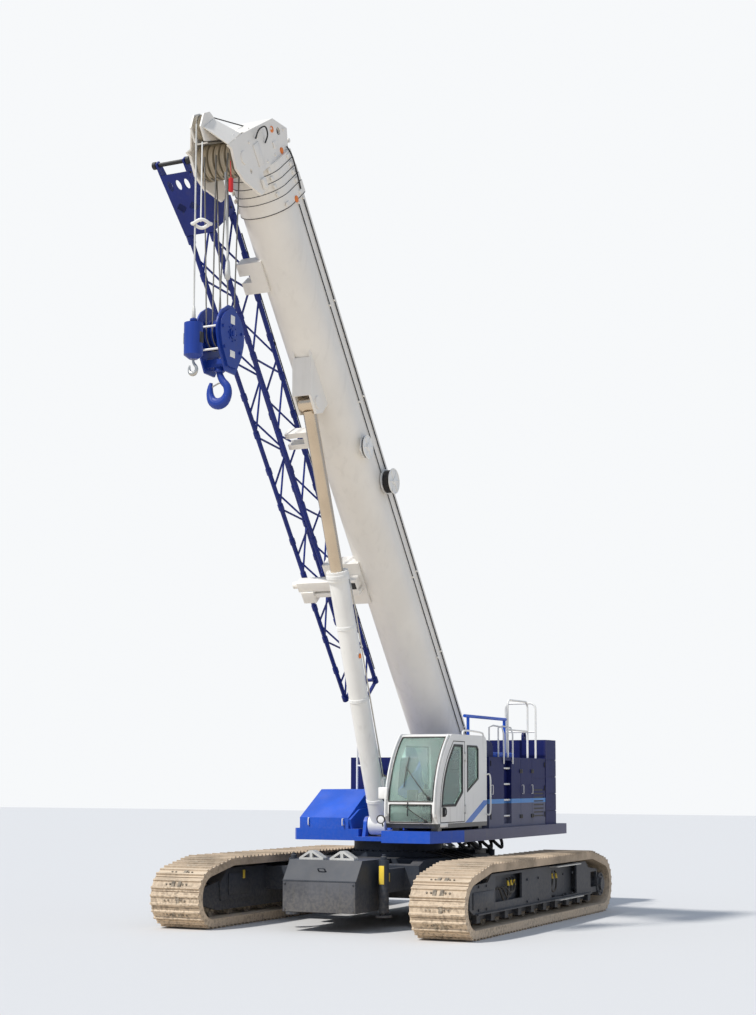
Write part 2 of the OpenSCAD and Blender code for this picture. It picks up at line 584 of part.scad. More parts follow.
// Room for the base section, cut from what is fastened to its outside
module boom_clearance(a0, a1)
    along_boom(a0, a1) boom_profile(boom_half_w + seat_gap, boom_h + 2 * seat_gap, 8 * fine);
module boom_base() color("ivory") on_boom() difference() {
    union() {
        boom_tube(0, 200, base_end - 200);
        collar(0, base_end - 200, base_end);
        difference() {
            along_boom(-300, 260) boom_profile(boom_half_w, boom_h);
            block([-400, -200, -600], [120, 200, 600]);
        }
        both_sides() side_plate(boom_half_w - 1, boom_half_w + boss_t) circle(r = 230, $fn = fine);
        for (a = [2400, 5600, 8700]) block([a, -60, boom_h / 2 + boom_mid - 5],
            [a + 60, 60, boom_h / 2 + boom_mid + 60]);
    }
    cross_bar(0, 0, 90 + seat_gap, -500, 500);
}
lug_y = [130, 170];
module boom_lug() color("ivory") on_boom() {
    nose = [[eye_a - 200, -380], [eye_a + 950, -380], [eye_a + 700, -500], [eye_a + 210, eye_b - 140],
        [eye_a - 130, eye_b - 150], [eye_a - 220, eye_b + 40]];
    difference() {
        union() {
            both_sides() side_plate(lug_y[0], lug_y[1]) polygon(nose);
            cross_plate(nose[2], nose[3], 24, -lug_y[0] - 1, lug_y[0] + 1);
        }
        boom_clearance(8000, 9600);
    }
    both_sides() cross_bar(eye_a, eye_b, 100, lug_y[1] - 1, lug_y[1] + 22);
    cross_bar(eye_a, eye_b, 60 - seat_gap, -lug_y[1] - 10, lug_y[1] + 10);
}
module section(n) color("ivory") on_boom() {
    boom_tube(n, 300 + 120 * n, base_end + (n - 1) * collar_l + 60);
    collar(n, base_end + (n - 1) * collar_l + seat_gap, base_end + n * collar_l);
}
module section_2() section(1);
module section_3() section(2);
module section_4() section(3);
module section_5() section(4);

// Boom head
head_a = base_end + 4 * collar_l + seat_gap;
sheave_a = head_a + sheave_out;
aux_a = sheave_a + aux_out;
head_y = [330, 370];
head_outline = [[head_a, -380], [head_a, 480], [head_a + 270, 640], [head_a + 560, 260],
    [head_a + 690, -760], [aux_a + 170, aux_b + 180], [aux_a + 210, aux_b], [aux_a + 90, aux_b - 200],
    [aux_a - 130, aux_b - 220], [sheave_a + 230, sheave_b - 250], [sheave_a - 60, sheave_b - 300],
    [sheave_a - 300, sheave_b - 180], [head_a - 280, -790], [head_a - 250, -620], [head_a, -540]];
module boom_head() color("ivory") on_boom() {
    p = head_outline;
    both_sides() difference() {
        side_plate(head_y[0], head_y[1]) polygon(p);
        cross_bar(sheave_a - 250, sheave_b + 100, 35, 0, 500, 32);
        cross_bar(head_a + 330, 330, 60, 0, 500, 32);
    }
    for (e = [[1, 2], [2, 3], [3, 4]]) cross_plate(p[e[1]], p[e[0]], -20, -head_y[0] - 1, head_y[0] + 1);
    cross_plate([head_a + 640, -760], [aux_a - 160, aux_b - 180], 20, -head_y[0] - 1, head_y[0] + 1);
    both_sides() side_plate(70, 95) polygon([p[4] + [-60, 20], p[5], p[6], p[7], p[8],
        [aux_a - 170, aux_b - 120]]);
    block([head_a, -head_y[0] - 1, -380], [head_a + 40, head_y[0] + 1, 450]);
    cross_bar(sheave_a, sheave_b, 50, -head_y[0] - 1, head_y[0] + 1, 32);
    cross_bar(aux_a, aux_b, 40, -96, 96, 32);
    both_sides() cross_bar(sheave_a, sheave_b, 95, head_y[1] - 1, head_y[1] + 20, 48);
}
// A grooved rope sheave of radius r about an axle of radius bore
groove = 22;
module sheave(a, b, y, r, bore) translate([a, y, b]) rotate([90, 0, 0]) rotate_extrude($fn = 48)
    polygon([[bore, -32], [r, -32], [r - groove, -9], [r - groove, 9], [r, 32], [bore, 32]]);
sheave_pitch = 100;
module head_sheaves() color("goldenrod") on_boom() {
    for (k = [0:5]) sheave(sheave_a, sheave_b, (k - 2.5) * sheave_pitch, sheave_r, 50 + seat_gap);
    sheave(aux_a, aux_b, 0, aux_r, 40 + seat_gap);
}
// Brackets that hold the stowed jib: [distance along the boom, length, height]
brackets = [[4650, 840, 260], [7540, 300, 200], [10480, 520, 240]];
module jib_brackets() color("ivory") on_boom() for (k = brackets) {
    t = (k[0] + k[1] / 2 - jib_tip[0]) / (jib_foot[0] - jib_tip[0]);
    y = jib_at(t, 1, 0)[1] + 0.985 * chord_r + seat_gap;
    difference() {
        block([k[0] - k[1] / 2, y, -480], [k[0] + k[1] / 2, -200, -480 + k[2]]);
        boom_clearance(k[0] - k[1], k[0] + k[1]);
        block([k[0] - 60, y - 100, -520], [k[0] + 60, -460, -120]);
    }
}
// Hose reels on the left side: [distance along the boom, height, radius, width]
reel_rows = [[7160, -170, 190, 90], [6280, 190, 215, 190]];
module reels() color("white") on_boom() for (k = reel_rows) {
    y0 = boom_half_w + seat_gap;
    difference() {
        cross_bar(k[0], k[1], 70, y0 - 40, y0 + k[3] - 1, 32);
        boom_clearance(k[0] - 100, k[0] + 100);
    }
    cross_bar(k[0], k[1], k[2], y0 + 30, y0 + 42, 48);
    cross_bar(k[0], k[1], k[2] - 30, y0 + 41, y0 + k[3] - 11, 48);
    cross_bar(k[0], k[1], k[2], y0 + k[3] - 12, y0 + k[3], 48);
}

// The stowed jib runs beside the boom from its foot near the boom head down to its tip.
// Each end is [distance along the boom, Y of its middle, height of its lowest chords, depth].
jib_tip = [1900, -1300, -200, 560];
jib_foot = [11450, -860, -810, 760];
function jib_at(t, side, up) = let (e = jib_tip + t * (jib_foot - jib_tip))
    [e[0], e[1] + side * jib_w / 2, e[2] + (up > 0 ? e[3] : 0)];
bay = 1 / bay_count;
module jib_lattice() color("mediumblue") on_boom() {
    for (side = [-1, 1]) for (up = [-1, 1]) strut(jib_at(0, side, up), jib_at(1.00095, side, up), chord_r);
    for (k = [0:bay_count - 1]) let (t = (k + 0.06) * bay, u = (k + 0.94) * bay, f = k % 2 * 2 - 1) {
        for (side = [-1, 1]) strut(jib_at(t, side, f), jib_at(u, side, -f), lace_r);
        if (k < bay_count - 1) for (up = [-1, 1])
            strut(jib_at(t + 0.5 * bay, f, up), jib_at(u + 0.5 * bay, -f, up), lace_r);
    }
    for (side = [-1, 1]) strut(jib_at(0.002, side, -1), jib_at(0.002, side, 1), chord_r - 6);
    for (up = [-1, 1]) strut(jib_at(0.006, -1, up), jib_at(0.006, 1, up), chord_r - 10);
}
module jib_head() color("mediumblue") on_boom() {
    a0 = jib_foot[0] + 12.4;
    y0 = jib_foot[1] - jib_w / 2 - chord_r;
    y1 = jib_foot[1] + jib_w / 2 + chord_r;
    b0 = jib_foot[2] - 60;
    b1 = jib_foot[2] + jib_foot[3] + 60;
    plate = [[a0, b0], [a0, b1], [a0 + 1090, b1 + 210], [a0 + 1160, b1 + 120], [a0 + 1160, b0 - 60],
        [a0 + 1080, b0 - 150]];
    for (y = [y0, y1 - 30]) side_plate(y, y + 30) difference() {
        polygon(plate);
        for (b = [-0.32, 0, 0.32]) translate([a0 + 830, (b0 + b1) / 2 + b * (b1 - b0) - 10])
            scale([1, 0.55]) circle(r = 95, $fn = 32);
        polygon([[a0 + 180, b0 + 190], [a0 + 180, b0 + 470], [a0 + 420, b0 + 330]]);
        polygon([[a0 + 480, b0 + 560], [a0 + 180, b0 + 560], [a0 + 180, b1 - 90], [a0 + 300, b1 - 90]]);
    }
    for (e = [[0, 1], [3, 4]]) cross_plate(plate[e[1]], plate[e[0]], -24, y0 + 1, y1 - 1);
    cross_plate(plate[1], plate[2], 24, y0 + 1, y1 - 1);
    cross_plate(plate[5], plate[0], 24, y0 + 1, y1 - 1);
    for (b = [b0 - 60, b1 + 120]) block([a0 + 1110, jib_foot[1] - 40, b - 50],
        [a0 + 1290, jib_foot[1] + 40, b + 50]);
    translate([a0 + 1240, jib_foot[1], b0 - 100]) cylinder(h = b1 - b0 + 260, r = 38, $fn = 32);
}

// Lift cylinder
foot_to_eye = [pivot_x + eye_a * cos(boom_deg) - eye_b * sin(boom_deg) - foot_x,
    pivot_z + eye_a * sin(boom_deg) + eye_b * cos(boom_deg) - foot_z];
lift_len = norm(foot_to_eye);
lift_deg = atan2(foot_to_eye[1], foot_to_eye[0]);
module on_lift() translate([foot_x, 0, foot_z]) rotate([0, -lift_deg, 0]) children();
module lift_barrel() color("white") on_lift() difference() {
    union() {
        rotate([0, 90, 0]) cylinder(h = barrel_l - 150, r = barrel_r, $fn = fine);
        translate([barrel_l - 151, 0, 0]) rotate([0, 90, 0]) cylinder(h = 151, r = barrel_r + 22, $fn = fine);
        cross_bar(0, 0, barrel_r + 20, -160, 160);
        cross_bar(0, 0, 60, -205 + seat_gap, 205 - seat_gap);
    }
    translate([300, 0, 0]) rotate([0, 90, 0]) cylinder(h = barrel_l, r = rod_r + seat_gap, $fn = fine);
}
module lift_rod() color("tan") on_lift() {
    translate([lift_len - 4950, 0, 0]) rotate([0, 90, 0]) cylinder(h = 4950 - 120, r = rod_r, $fn = fine);
    difference() {
        cross_bar(lift_len, 0, 140, -lug_y[0] + 5, lug_y[0] - 5);
        cross_bar(lift_len, 0, 60, -300, 300, 32);
    }
}

// Hooks
sheave_x = pivot_x + sheave_a * cos(boom_deg) - sheave_b * sin(boom_deg);
sheave_z = pivot_z + sheave_a * sin(boom_deg) + sheave_b * cos(boom_deg);
aux_x = pivot_x + aux_a * cos(boom_deg) - aux_b * sin(boom_deg);
aux_z = pivot_z + aux_a * sin(boom_deg) + aux_b * cos(boom_deg);
block_z = sheave_z - block_drop;
rope_off = rope_r - groove + seat_gap;
// Two rope falls go to each block sheave, one down its front and one down its back
module hook_ropes() color("silver") for (k = [0:5]) let (s = k % 2 * 2 - 1)
    strut([sheave_x + s * (block_r + rope_off), (floor(k / 2) - 1) * sheave_pitch, block_z],
        [sheave_x + s * (sheave_r + rope_off), (k - 2.5) * sheave_pitch, sheave_z], rope_r, 12);
cheek_half = concat([[140, -590], [330, -280]], arc([0, 0], 400, -12, 50, 5), [[70, 420]]);
module hook_block() color("mediumblue") translate([sheave_x, 0, block_z]) {
    both_sides() {
        side_plate(160, 186) polygon(concat(cheek_half, mirrored(cheek_half)));
        side_plate(185, 215) scale([0.86, 0.86]) polygon(concat(cheek_half, mirrored(cheek_half)));
        cross_bar(0, 0, 80, 214, 232, 48);
    }
    cross_bar(0, 0, 50, -161, 161, 32);
    for (k = [-1, 1]) for (p = [[300, 60], [250, -270]]) cross_bar(k * p[0], p[1], 14, -161, 161, 24);
    block([-90, -161, -500], [90, 161, -380]);
    for (k = [-1:1]) sheave(0, 0, k * sheave_pitch, block_r, 40);
}
// A hook swept along a bent path in Y and Z. Each station is [y, z, radius of the round section].
hook_rows = [[0, 330, 48], [0, 290, 48], [10, 225, 50], [60, 130, 56], [128, 50, 60], [146, -60, 66], [90, -168, 82],
    [-10, -205, 88], [-105, -165, 78], [-152, -70, 60], [-158, 30, 46], [-140, 120, 26]];
function hook_row(u) = let (n = len(hook_rows) - 1, i = min(floor(u), n - 1), t = u - i)
    let (a = hook_rows[max(i - 1, 0)], b = hook_rows[i], c = hook_rows[i + 1], d = hook_rows[min(i + 2, n)])
    0.5 * (2 * b + (c - a) * t + (2 * a - 5 * b + 4 * c - d) * t * t + (3 * b - a - 3 * c + d) * t * t * t);
module swept_hook(steps = 3, sides = 16) {
    n = (len(hook_rows) - 1) * steps;
    rings = [for (j = [0:n]) let (r = hook_row(j / steps), e = hook_row(min(j / steps + 0.02, n / steps)),
        f = hook_row(max(j / steps - 0.02, 0)), d = unit([e[0] - f[0], e[1] - f[1]]))
        [for (k = [0:sides - 1]) let (v = k * 360 / sides)
            [r[2] * 0.82 * cos(v), r[0] + r[2] * sin(v) * d[1], r[1] - r[2] * sin(v) * d[0]]]];
    points = [for (ring = rings) for (p = ring) p];
    walls = [for (j = [0:n - 1]) for (k = [0:sides - 1]) let (m = (k + 1) % sides)
        [j * sides + k, j * sides + m, (j + 1) * sides + m, (j + 1) * sides + k]];
    last = [for (k = [0:sides - 1]) n * sides + k];
    polyhedron(points, concat([[for (k = [sides - 1:-1:0]) k]], walls, [last]));
}
module hook() color("mediumblue") translate([sheave_x, 0, block_z - 500 - seat_gap - 330]) swept_hook();
ball_x = aux_x + aux_r + rope_off;
ball_z = aux_z - ball_drop;
module ball_weight() color("mediumblue") {
    post(ball_x, 0, ball_z - 10, aux_z, rope_r, 16);
    post(ball_x, 0, ball_z - 40, ball_z + 40, 42);
    post(ball_x, 0, ball_z - 500, ball_z - 30, 138, 48);
    translate([ball_x, 0, ball_z - 560]) cylinder(h = 61, r1 = 60, r2 = 138, $fn = 48);
}
module ball_hook() color("silver") translate([ball_x, 0, ball_z - 560 - seat_gap - 330 * 0.4])
    scale(0.4) swept_hook();

carbody();
slew_ring();
weight_front();
weight_rear();
frame_left();
frame_right();
track_left();
track_right();
sprocket_left();
sprocket_right();
idler_left();
idler_right();
rollers_left();
rollers_right();
steps();
deck();
boom_towers();
hood_front();
housing_left();
housing_right();
engine();
winches();
counterweight();
rails();
cab_shell();
cab_door();
cab_glass();
door_glass();
seat();
boom_base();
boom_lug();
jib_brackets();
reels();
jib_lattice();
jib_head();
section_2();
section_3();
section_4();
section_5();
boom_head();
head_sheaves();
lift_rod();
lift_barrel();
hook_ropes();
hook_block();
hook();
ball_weight();
ball_hook();
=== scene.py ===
# %% [markdown]
# The lesson starts from the measured crane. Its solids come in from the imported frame, each one
# already in place, and every piece that is added afterwards rides on one of their bodies.

import json
import math

import bpy
import numpy as np
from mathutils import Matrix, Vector


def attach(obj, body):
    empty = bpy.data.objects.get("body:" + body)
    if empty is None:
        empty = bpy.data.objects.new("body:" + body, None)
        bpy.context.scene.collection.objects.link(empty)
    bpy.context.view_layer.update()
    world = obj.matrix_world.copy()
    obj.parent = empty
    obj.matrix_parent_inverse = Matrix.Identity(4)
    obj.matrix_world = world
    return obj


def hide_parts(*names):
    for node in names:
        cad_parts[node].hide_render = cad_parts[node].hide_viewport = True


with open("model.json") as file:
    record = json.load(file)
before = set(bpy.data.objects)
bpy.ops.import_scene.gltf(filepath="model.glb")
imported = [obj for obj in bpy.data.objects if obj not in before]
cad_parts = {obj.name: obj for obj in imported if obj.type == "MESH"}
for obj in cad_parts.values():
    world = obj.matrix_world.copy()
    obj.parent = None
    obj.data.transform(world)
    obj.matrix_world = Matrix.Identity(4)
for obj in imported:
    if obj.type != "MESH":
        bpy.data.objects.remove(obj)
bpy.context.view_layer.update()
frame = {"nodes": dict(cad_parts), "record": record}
nodes = frame["nodes"]

# %% [markdown]
# A crane this tall is photographed from far off with the camera held low and level, so that the
# boom's lines stay straight. A lens shift, not a tilt, brings the boom's head into the frame.

# %% Camera at the photograph's place
YAW, PITCH, ROLL = math.radians(204.99), math.radians(5.8), math.radians(-0.15)
camera_data = bpy.data.cameras.new("view")
camera_data.lens = 59.13
camera_data.shift_y = 0.101
camera_data.clip_end = 200
camera = bpy.data.objects.new("view", camera_data)
camera.location = (27.35, 12.35, 2.46)
camera.rotation_euler = (math.pi / 2 + PITCH, ROLL, YAW - math.pi / 2)
bpy.context.scene.collection.objects.link(camera)
bpy.context.scene.camera = camera
bpy.context.scene.view_settings.view_transform = "Standard"
print("lens", camera_data.lens, "shift", camera_data.shift_y)

# %% [markdown]
# The boom and the lift cylinder lie at a slant. Drawing on them is easier in their own measures:
# distance along, distance to the left, and height above the middle line. Small functions turn such
# points into the crane's frame.

# %% Points on the boom and on the lift cylinder
BOOM_ANGLE = math.radians(50.6)
PIVOT = np.array([-2.3, 0.0, 2.6])
FOOT = np.array([0.75, 0.0, 1.68])
EYE = np.array([3.5873, 0.0, 8.5699])


def along(points, origin, angle):
    """Turns (distance along, left, height) by angle in the X-Z plane and moves it to origin."""
    p = np.asarray(points, float)
    c, s = math.cos(angle), math.sin(angle)
    return np.stack([origin[0] + p[..., 0] * c - p[..., 2] * s, origin[1] + p[..., 1],
                     origin[2] + p[..., 0] * s + p[..., 2] * c], -1)


def on_boom(points):
    """Boom measures to the crane's frame."""
    return along(points, PIVOT, BOOM_ANGLE)


def boom_from(start):
    """A function for points whose distance along the boom is counted from start."""
    return lambda points: on_boom(np.asarray(points, float) + [start, 0, 0])


def on_lift(points):
    """Lift cylinder measures, from its foot pin, to the crane's frame."""
    d = EYE - FOOT
    return along(points, FOOT, math.atan2(d[2], d[0]))


print("boom head near", on_boom([12.5, 0, 0]).round(2))

# %% [markdown]
# Small parts are worked out as whole arrays: a tube is a ring carried along a path, a turned part
# is a profile spun about an axis, a plate is an outline given a thickness. Each function gives
# points and faces, and one more function makes many such shapes into one mesh.

# %% Shapes as arrays of points
def grid_faces(m, n, close_m=False, close_n=False):
    """Quads between neighbouring rows and columns of an m by n grid of points."""
    i = np.arange(m if close_m else m - 1)[:, None]
    j = np.arange(n if close_n else n - 1)[None, :]
    k, l = (i + 1) % m, (j + 1) % n
    return np.stack([i * n + j, i * n + l, k * n + l, k * n + j], -1).reshape(-1, 4).tolist()


def closed_ends(m, n):
    """The faces of a tube of m rings with n points each, and the two faces that close its ends."""
    return grid_faces(m, n, False, True) + [list(range(n))[::-1], [(m - 1) * n + q for q in range(n)]]


def tube(path, radius, sides=10, close=False):
    """A ring of sides points, square to the path at each of its points. The first ring's
    direction is carried along by removing from it what points along the path."""
    p = np.asarray(path, float)
    r = np.broadcast_to(np.asarray(radius, float), len(p))
    t = np.roll(p, -1, 0) - np.roll(p, 1, 0) if close else np.gradient(p, axis=0)
    t /= np.linalg.norm(t, axis=1)[:, None]
    side = np.cross(t[0], [0.0, 0.0, 1.0])
    if np.linalg.norm(side) < 0.1:
        side = np.cross(t[0], [0.0, 1.0, 0.0])
    sides_at = []
    for d in t:
        side = side - d * (side @ d)
        side = side / np.linalg.norm(side)
        sides_at.append(side)
    u = np.array(sides_at)
    v = np.cross(t, u)
    k = np.arange(sides) * 2 * np.pi / sides
    ring = u[:, None, :] * np.cos(k)[None, :, None] + v[:, None, :] * np.sin(k)[None, :, None]
    points = p[:, None, :] + ring * r[:, None, None]
    faces = grid_faces(len(p), sides, True, True) if close else closed_ends(len(p), sides)
    return points.reshape(-1, 3), faces


def smooth(stations, steps=6):
    """A curve through all stations: each stretch blends its two ends and their neighbours with
    cubic weights, so that the direction never jumps."""
    s = np.asarray(stations, float)
    s = np.vstack([2 * s[0] - s[1], s, 2 * s[-1] - s[-2]])
    t = np.linspace(0, 1, steps, endpoint=False)[None, :, None]
    a, b, c, d = (s[k : len(s) - 3 + k][:, None, :] for k in range(4))
    q = 0.5 * (2 * b + (c - a) * t + (2 * a - 5 * b + 4 * c - d) * t**2 + (3 * b - a - 3 * c + d) * t**3)
    return np.vstack([q.reshape(-1, 3), s[-2]])


def hose(stations, radius, sides=8):
    """A tube along the smooth curve through its stations."""
    return tube(smooth(stations), radius, sides)


def arc(centre, r, start=0, end=360, n=16, third=None, axis=1):
    """Points on a circle, r times the cosine and sine from its centre, in n steps from start to
    end in degrees. A whole turn leaves out its last point. Third is the value of the third axis."""
    k = np.radians(np.linspace(start, end, n + 1))[: n if end - start == 360 else n + 1]
    p = np.asarray(centre) + r * np.stack([np.cos(k), np.sin(k)], 1)
    return p if third is None else np.insert(p, axis, third, 1)


def hoop(centre, r, thick, third, n, axis=1, place=None):
    """A closed ring of round section in the plane where the third axis has one value."""
    run = arc(centre, r, n=n, third=third, axis=axis)
    return tube(place(run) if place else run, thick, 6, close=True)


def turned(profile, origin, axis, sides=24):
    """A profile of (distance along the axis, radius) spun about the axis."""
    p = np.asarray(profile, float)
    a = np.asarray(axis, float) / np.linalg.norm(axis)
    u = np.cross(a, [0.0, 0.0, 1.0] if abs(a[2]) < 0.9 else [1.0, 0.0, 0.0])
    u /= np.linalg.norm(u)
    v = np.cross(a, u)
    k = np.arange(sides) * 2 * np.pi / sides
    ring = u * np.cos(k)[:, None] + v * np.sin(k)[:, None]
    points = np.asarray(origin) + p[:, None, :1] * a + p[:, None, 1:] * ring
    return points.reshape(-1, 3), closed_ends(len(p), sides)


def cap(spot, axis, r, high, top, tip, sides=8):
    """A bolt's head or a cap: radius r up to high, then slanting to radius tip at top."""
    return turned([(0, r), (high, r), (top, tip)], spot, axis, sides)


def plate(outline, low, high, axis=1, place=None):
    """An outline in two coordinates given a thickness from low to high along the third one."""
    o = np.asarray(outline, float)
    n = len(o)
    points = np.vstack([np.insert(o, axis, low, 1), np.insert(o, axis, high, 1)])
    faces = [list(range(n)), [n + q for q in range(n)][::-1]]
    faces += [[n + q, n + (q + 1) % n, (q + 1) % n, q] for q in range(n)]
    return (place(points) if place else points), faces


def pillow(low, high, r, place=None, n=3):
    """A box with rounded edges between two opposite corners: each direction on a ball moves its
    point of the ball, of radius r, into the corner of the box that it points to."""
    low, high = np.minimum(low, high), np.maximum(low, high)
    u = (np.arange(4 * n) + 0.5) * np.pi / (2 * n)
    v = np.linspace(-np.pi / 2, np.pi / 2, 2 * n + 2)
    v = (v + (np.arange(2 * n + 2) >= n + 1) * 1e-6)[:, None]
    one = np.ones(4 * n)
    d = np.stack([np.cos(v) * np.cos(u), np.cos(v) * np.sin(u), np.sin(v) * one], -1)
    s = np.sign(np.stack([np.cos(u) + 0 * v, np.sin(u) + 0 * v, (v + 1e-7) * one], -1))
    points = ((low + high) / 2 + s * ((high - low) / 2 - r) + r * d).reshape(-1, 3)
    return (place(points) if place else points), closed_ends(len(v), 4 * n)


def both_sides(shape):
    """A shape and its mirror image across the crane's middle plane."""
    return [shape, (np.asarray(shape[0]) * [1, -1, 1], [f[::-1] for f in shape[1]])]


def make(name, body, paint, shapes):
    """Makes many shapes one mesh, sharp where faces meet at over 30 degrees, that rides on body."""
    points, faces, count = [], [], 0
    for more, rows in shapes:
        points.append(more)
        faces += [[q + count for q in row] for row in rows]
        count += len(more)
    mesh = bpy.data.meshes.new(name)
    mesh.from_pydata(np.vstack(points).tolist(), [], faces)
    mesh.validate()
    mesh.polygons.foreach_set("use_smooth", np.ones(len(mesh.polygons), bool))
    mesh.set_sharp_from_angle(angle=math.radians(30))
    mesh.materials.append(paint)
    piece = bpy.data.objects.new(name, mesh)
    bpy.context.scene.collection.objects.link(piece)
    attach(piece, body)
    print(name, len(mesh.polygons), "faces on", body)
    return piece


print("shapes ready")

# %% [markdown]
# A machine that works outdoors never has one even colour. Dust settles on faces that look up, mud
# dries low down, rain draws streaks down the sides, and the paint varies a little from panel to
# panel. These effects are node groups, so that each finish takes them with its own strength.

# %% Groups for dust, streaks and fine bumps
def new_group(name, inputs, outputs):
    """An empty shader group with named sockets, each one (name, kind, default)."""
    g = bpy.data.node_groups.new(name, "ShaderNodeTree")
    for label, kind, value in inputs:
        s = g.interface.new_socket(label, in_out="INPUT", socket_type="NodeSocket" + kind)
        s.default_value = value
    for label, kind in outputs:
        g.interface.new_socket(label, in_out="OUTPUT", socket_type="NodeSocket" + kind)
    return g, g.nodes.new("NodeGroupInput"), g.nodes.new("NodeGroupOutput")


def give(tree, socket, value):
    """Links a socket to another one, or sets it to a number or a colour."""
    if isinstance(value, bpy.types.NodeSocket):
        tree.links.new(value, socket)
    elif isinstance(value, (int, float)):
        socket.default_value = value
    else:
        socket.default_value = tuple(value) + (1.0,) * (len(socket.default_value) - len(value))


def fill(tree, n, **values):
    """Links or sets a node's inputs by their names, with a low line for each space."""
    for label, value in values.items():
        give(tree, n.inputs[label.replace("_", " ")], value)
    return n


def node(tree, kind, **values):
    """A new shader node with its inputs filled."""
    return fill(tree, tree.nodes.new("ShaderNode" + kind), **values)


def object_xyz(tree):
    """The Object coordinates, split into X, Y and Z."""
    return node(tree, "SeparateXYZ", Vector=node(tree, "TexCoord").outputs["Object"]).outputs


def noise(tree, scale, detail=4.0, stretch=(1, 1, 1)):
    """Noise on Object coordinates, stretched by a Mapping node."""
    turn = node(tree, "Mapping", Vector=node(tree, "TexCoord").outputs["Object"], Scale=stretch)
    n = node(tree, "TexNoise", Vector=turn.outputs["Vector"], Scale=scale, Detail=detail, Roughness=0.55)
    return n.outputs["Fac"]


def remap(tree, source, low, high, to_low=0.0, to_high=1.0):
    """Spreads a value between low and high over a new span, and stops at its ends."""
    n = node(tree, "MapRange", From_Min=low, From_Max=high, To_Min=to_low, To_Max=to_high, Value=source)
    n.interpolation_type = "SMOOTHSTEP"
    return n.outputs["Result"]


def math_node(tree, operation, *values, clamp=True):
    """One arithmetic step on sockets or numbers."""
    n = node(tree, "Math")
    n.operation = operation
    n.use_clamp = clamp
    for socket, value in zip(n.inputs, values):
        give(tree, socket, value)
    return n.outputs[0]


def mix(tree, factor, a, b, blend="MIX"):
    """Mixes two colours, which may be sockets or plain values."""
    n = node(tree, "Mix")
    n.data_type = "RGBA"
    n.blend_type = blend
    for k, value in ((0, factor), (6, a), (7, b)):
        give(tree, n.inputs[k], value)
    return n.outputs[2]


def product(tree, *values):
    """The values multiplied one after another, each step kept between 0 and 1."""
    out = values[0]
    for value in values[1:]:
        out = math_node(tree, "MULTIPLY", out, value)
    return out


dust, g_in, g_out = new_group("dust and mud", [
    ("Colour", "Color", (0.5, 0.5, 0.5, 1)), ("Dust Colour", "Color", (0.42, 0.36, 0.28, 1)),
    ("On Top", "Float", 0.3), ("Low Down", "Float", 0.5), ("Up To", "Float", 1.2)],
    [("Colour", "Color"), ("Mask", "Float")])
facing = node(dust, "SeparateXYZ", Vector=node(dust, "NewGeometry").outputs["Normal"]).outputs["Z"]
top = product(dust, remap(dust, facing, 0.25, 0.95), g_in.outputs["On Top"],
              remap(dust, noise(dust, 2.3, 6.0), 0.35, 0.62, 0.45, 1.5))
share = math_node(dust, "DIVIDE", object_xyz(dust)["Z"], g_in.outputs["Up To"], clamp=False)
low = product(dust, remap(dust, share, 0.15, 1.0, 1.0, 0.0), g_in.outputs["Low Down"],
              remap(dust, noise(dust, 19.0, 5.0), 0.38, 0.62, 0.35, 1.6))
both = math_node(dust, "MAXIMUM", top, low)
give(dust, g_out.inputs["Colour"], mix(dust, both, g_in.outputs["Colour"], g_in.outputs["Dust Colour"]))
give(dust, g_out.inputs["Mask"], both)

streaks, g_in, g_out = new_group("rain streaks", [
    ("Colour", "Color", (0.5, 0.5, 0.5, 1)), ("Streak Colour", "Color", (0.1, 0.08, 0.06, 1)),
    ("Strength", "Float", 0.25)], [("Colour", "Color"), ("Mask", "Float")])
mask = product(streaks, remap(streaks, noise(streaks, 9.0, 3.0, (1, 1, 0.07)), 0.5, 0.72),
               remap(streaks, noise(streaks, 0.9, 3.0), 0.38, 0.62), g_in.outputs["Strength"])
give(streaks, g_out.inputs["Colour"], mix(streaks, mask, g_in.outputs["Colour"], g_in.outputs["Streak Colour"]))
give(streaks, g_out.inputs["Mask"], mask)

grain, g_in, g_out = new_group("fine grain", [("Scale", "Float", 60.0), ("Depth", "Float", 0.2)],
                               [("Normal", "Vector")])
dots = noise(grain, g_in.outputs["Scale"], 4.0)
bump = node(grain, "Bump", Distance=0.01, Strength=g_in.outputs["Depth"], Height=dots)
give(grain, g_out.inputs["Normal"], bump.outputs["Normal"])
print("groups:", dust.name, streaks.name, grain.name)

# %% [markdown]
# One function makes every painted, bare or rubber finish. It takes the plain colour, or bands of
# colour that are told apart by their place on the crane, and lays the groups over it.

# %% Finishes
def use(tree, group, **values):
    """Places a group in a material, fills its inputs and gives its outputs."""
    n = tree.nodes.new("ShaderNodeGroup")
    n.node_tree = group
    return fill(tree, n, **values).outputs


def material(name):
    """A new material with its node tree and its shader."""
    m = bpy.data.materials.new(name)
    m.use_nodes = True
    return m, m.node_tree, m.node_tree.nodes["Principled BSDF"]


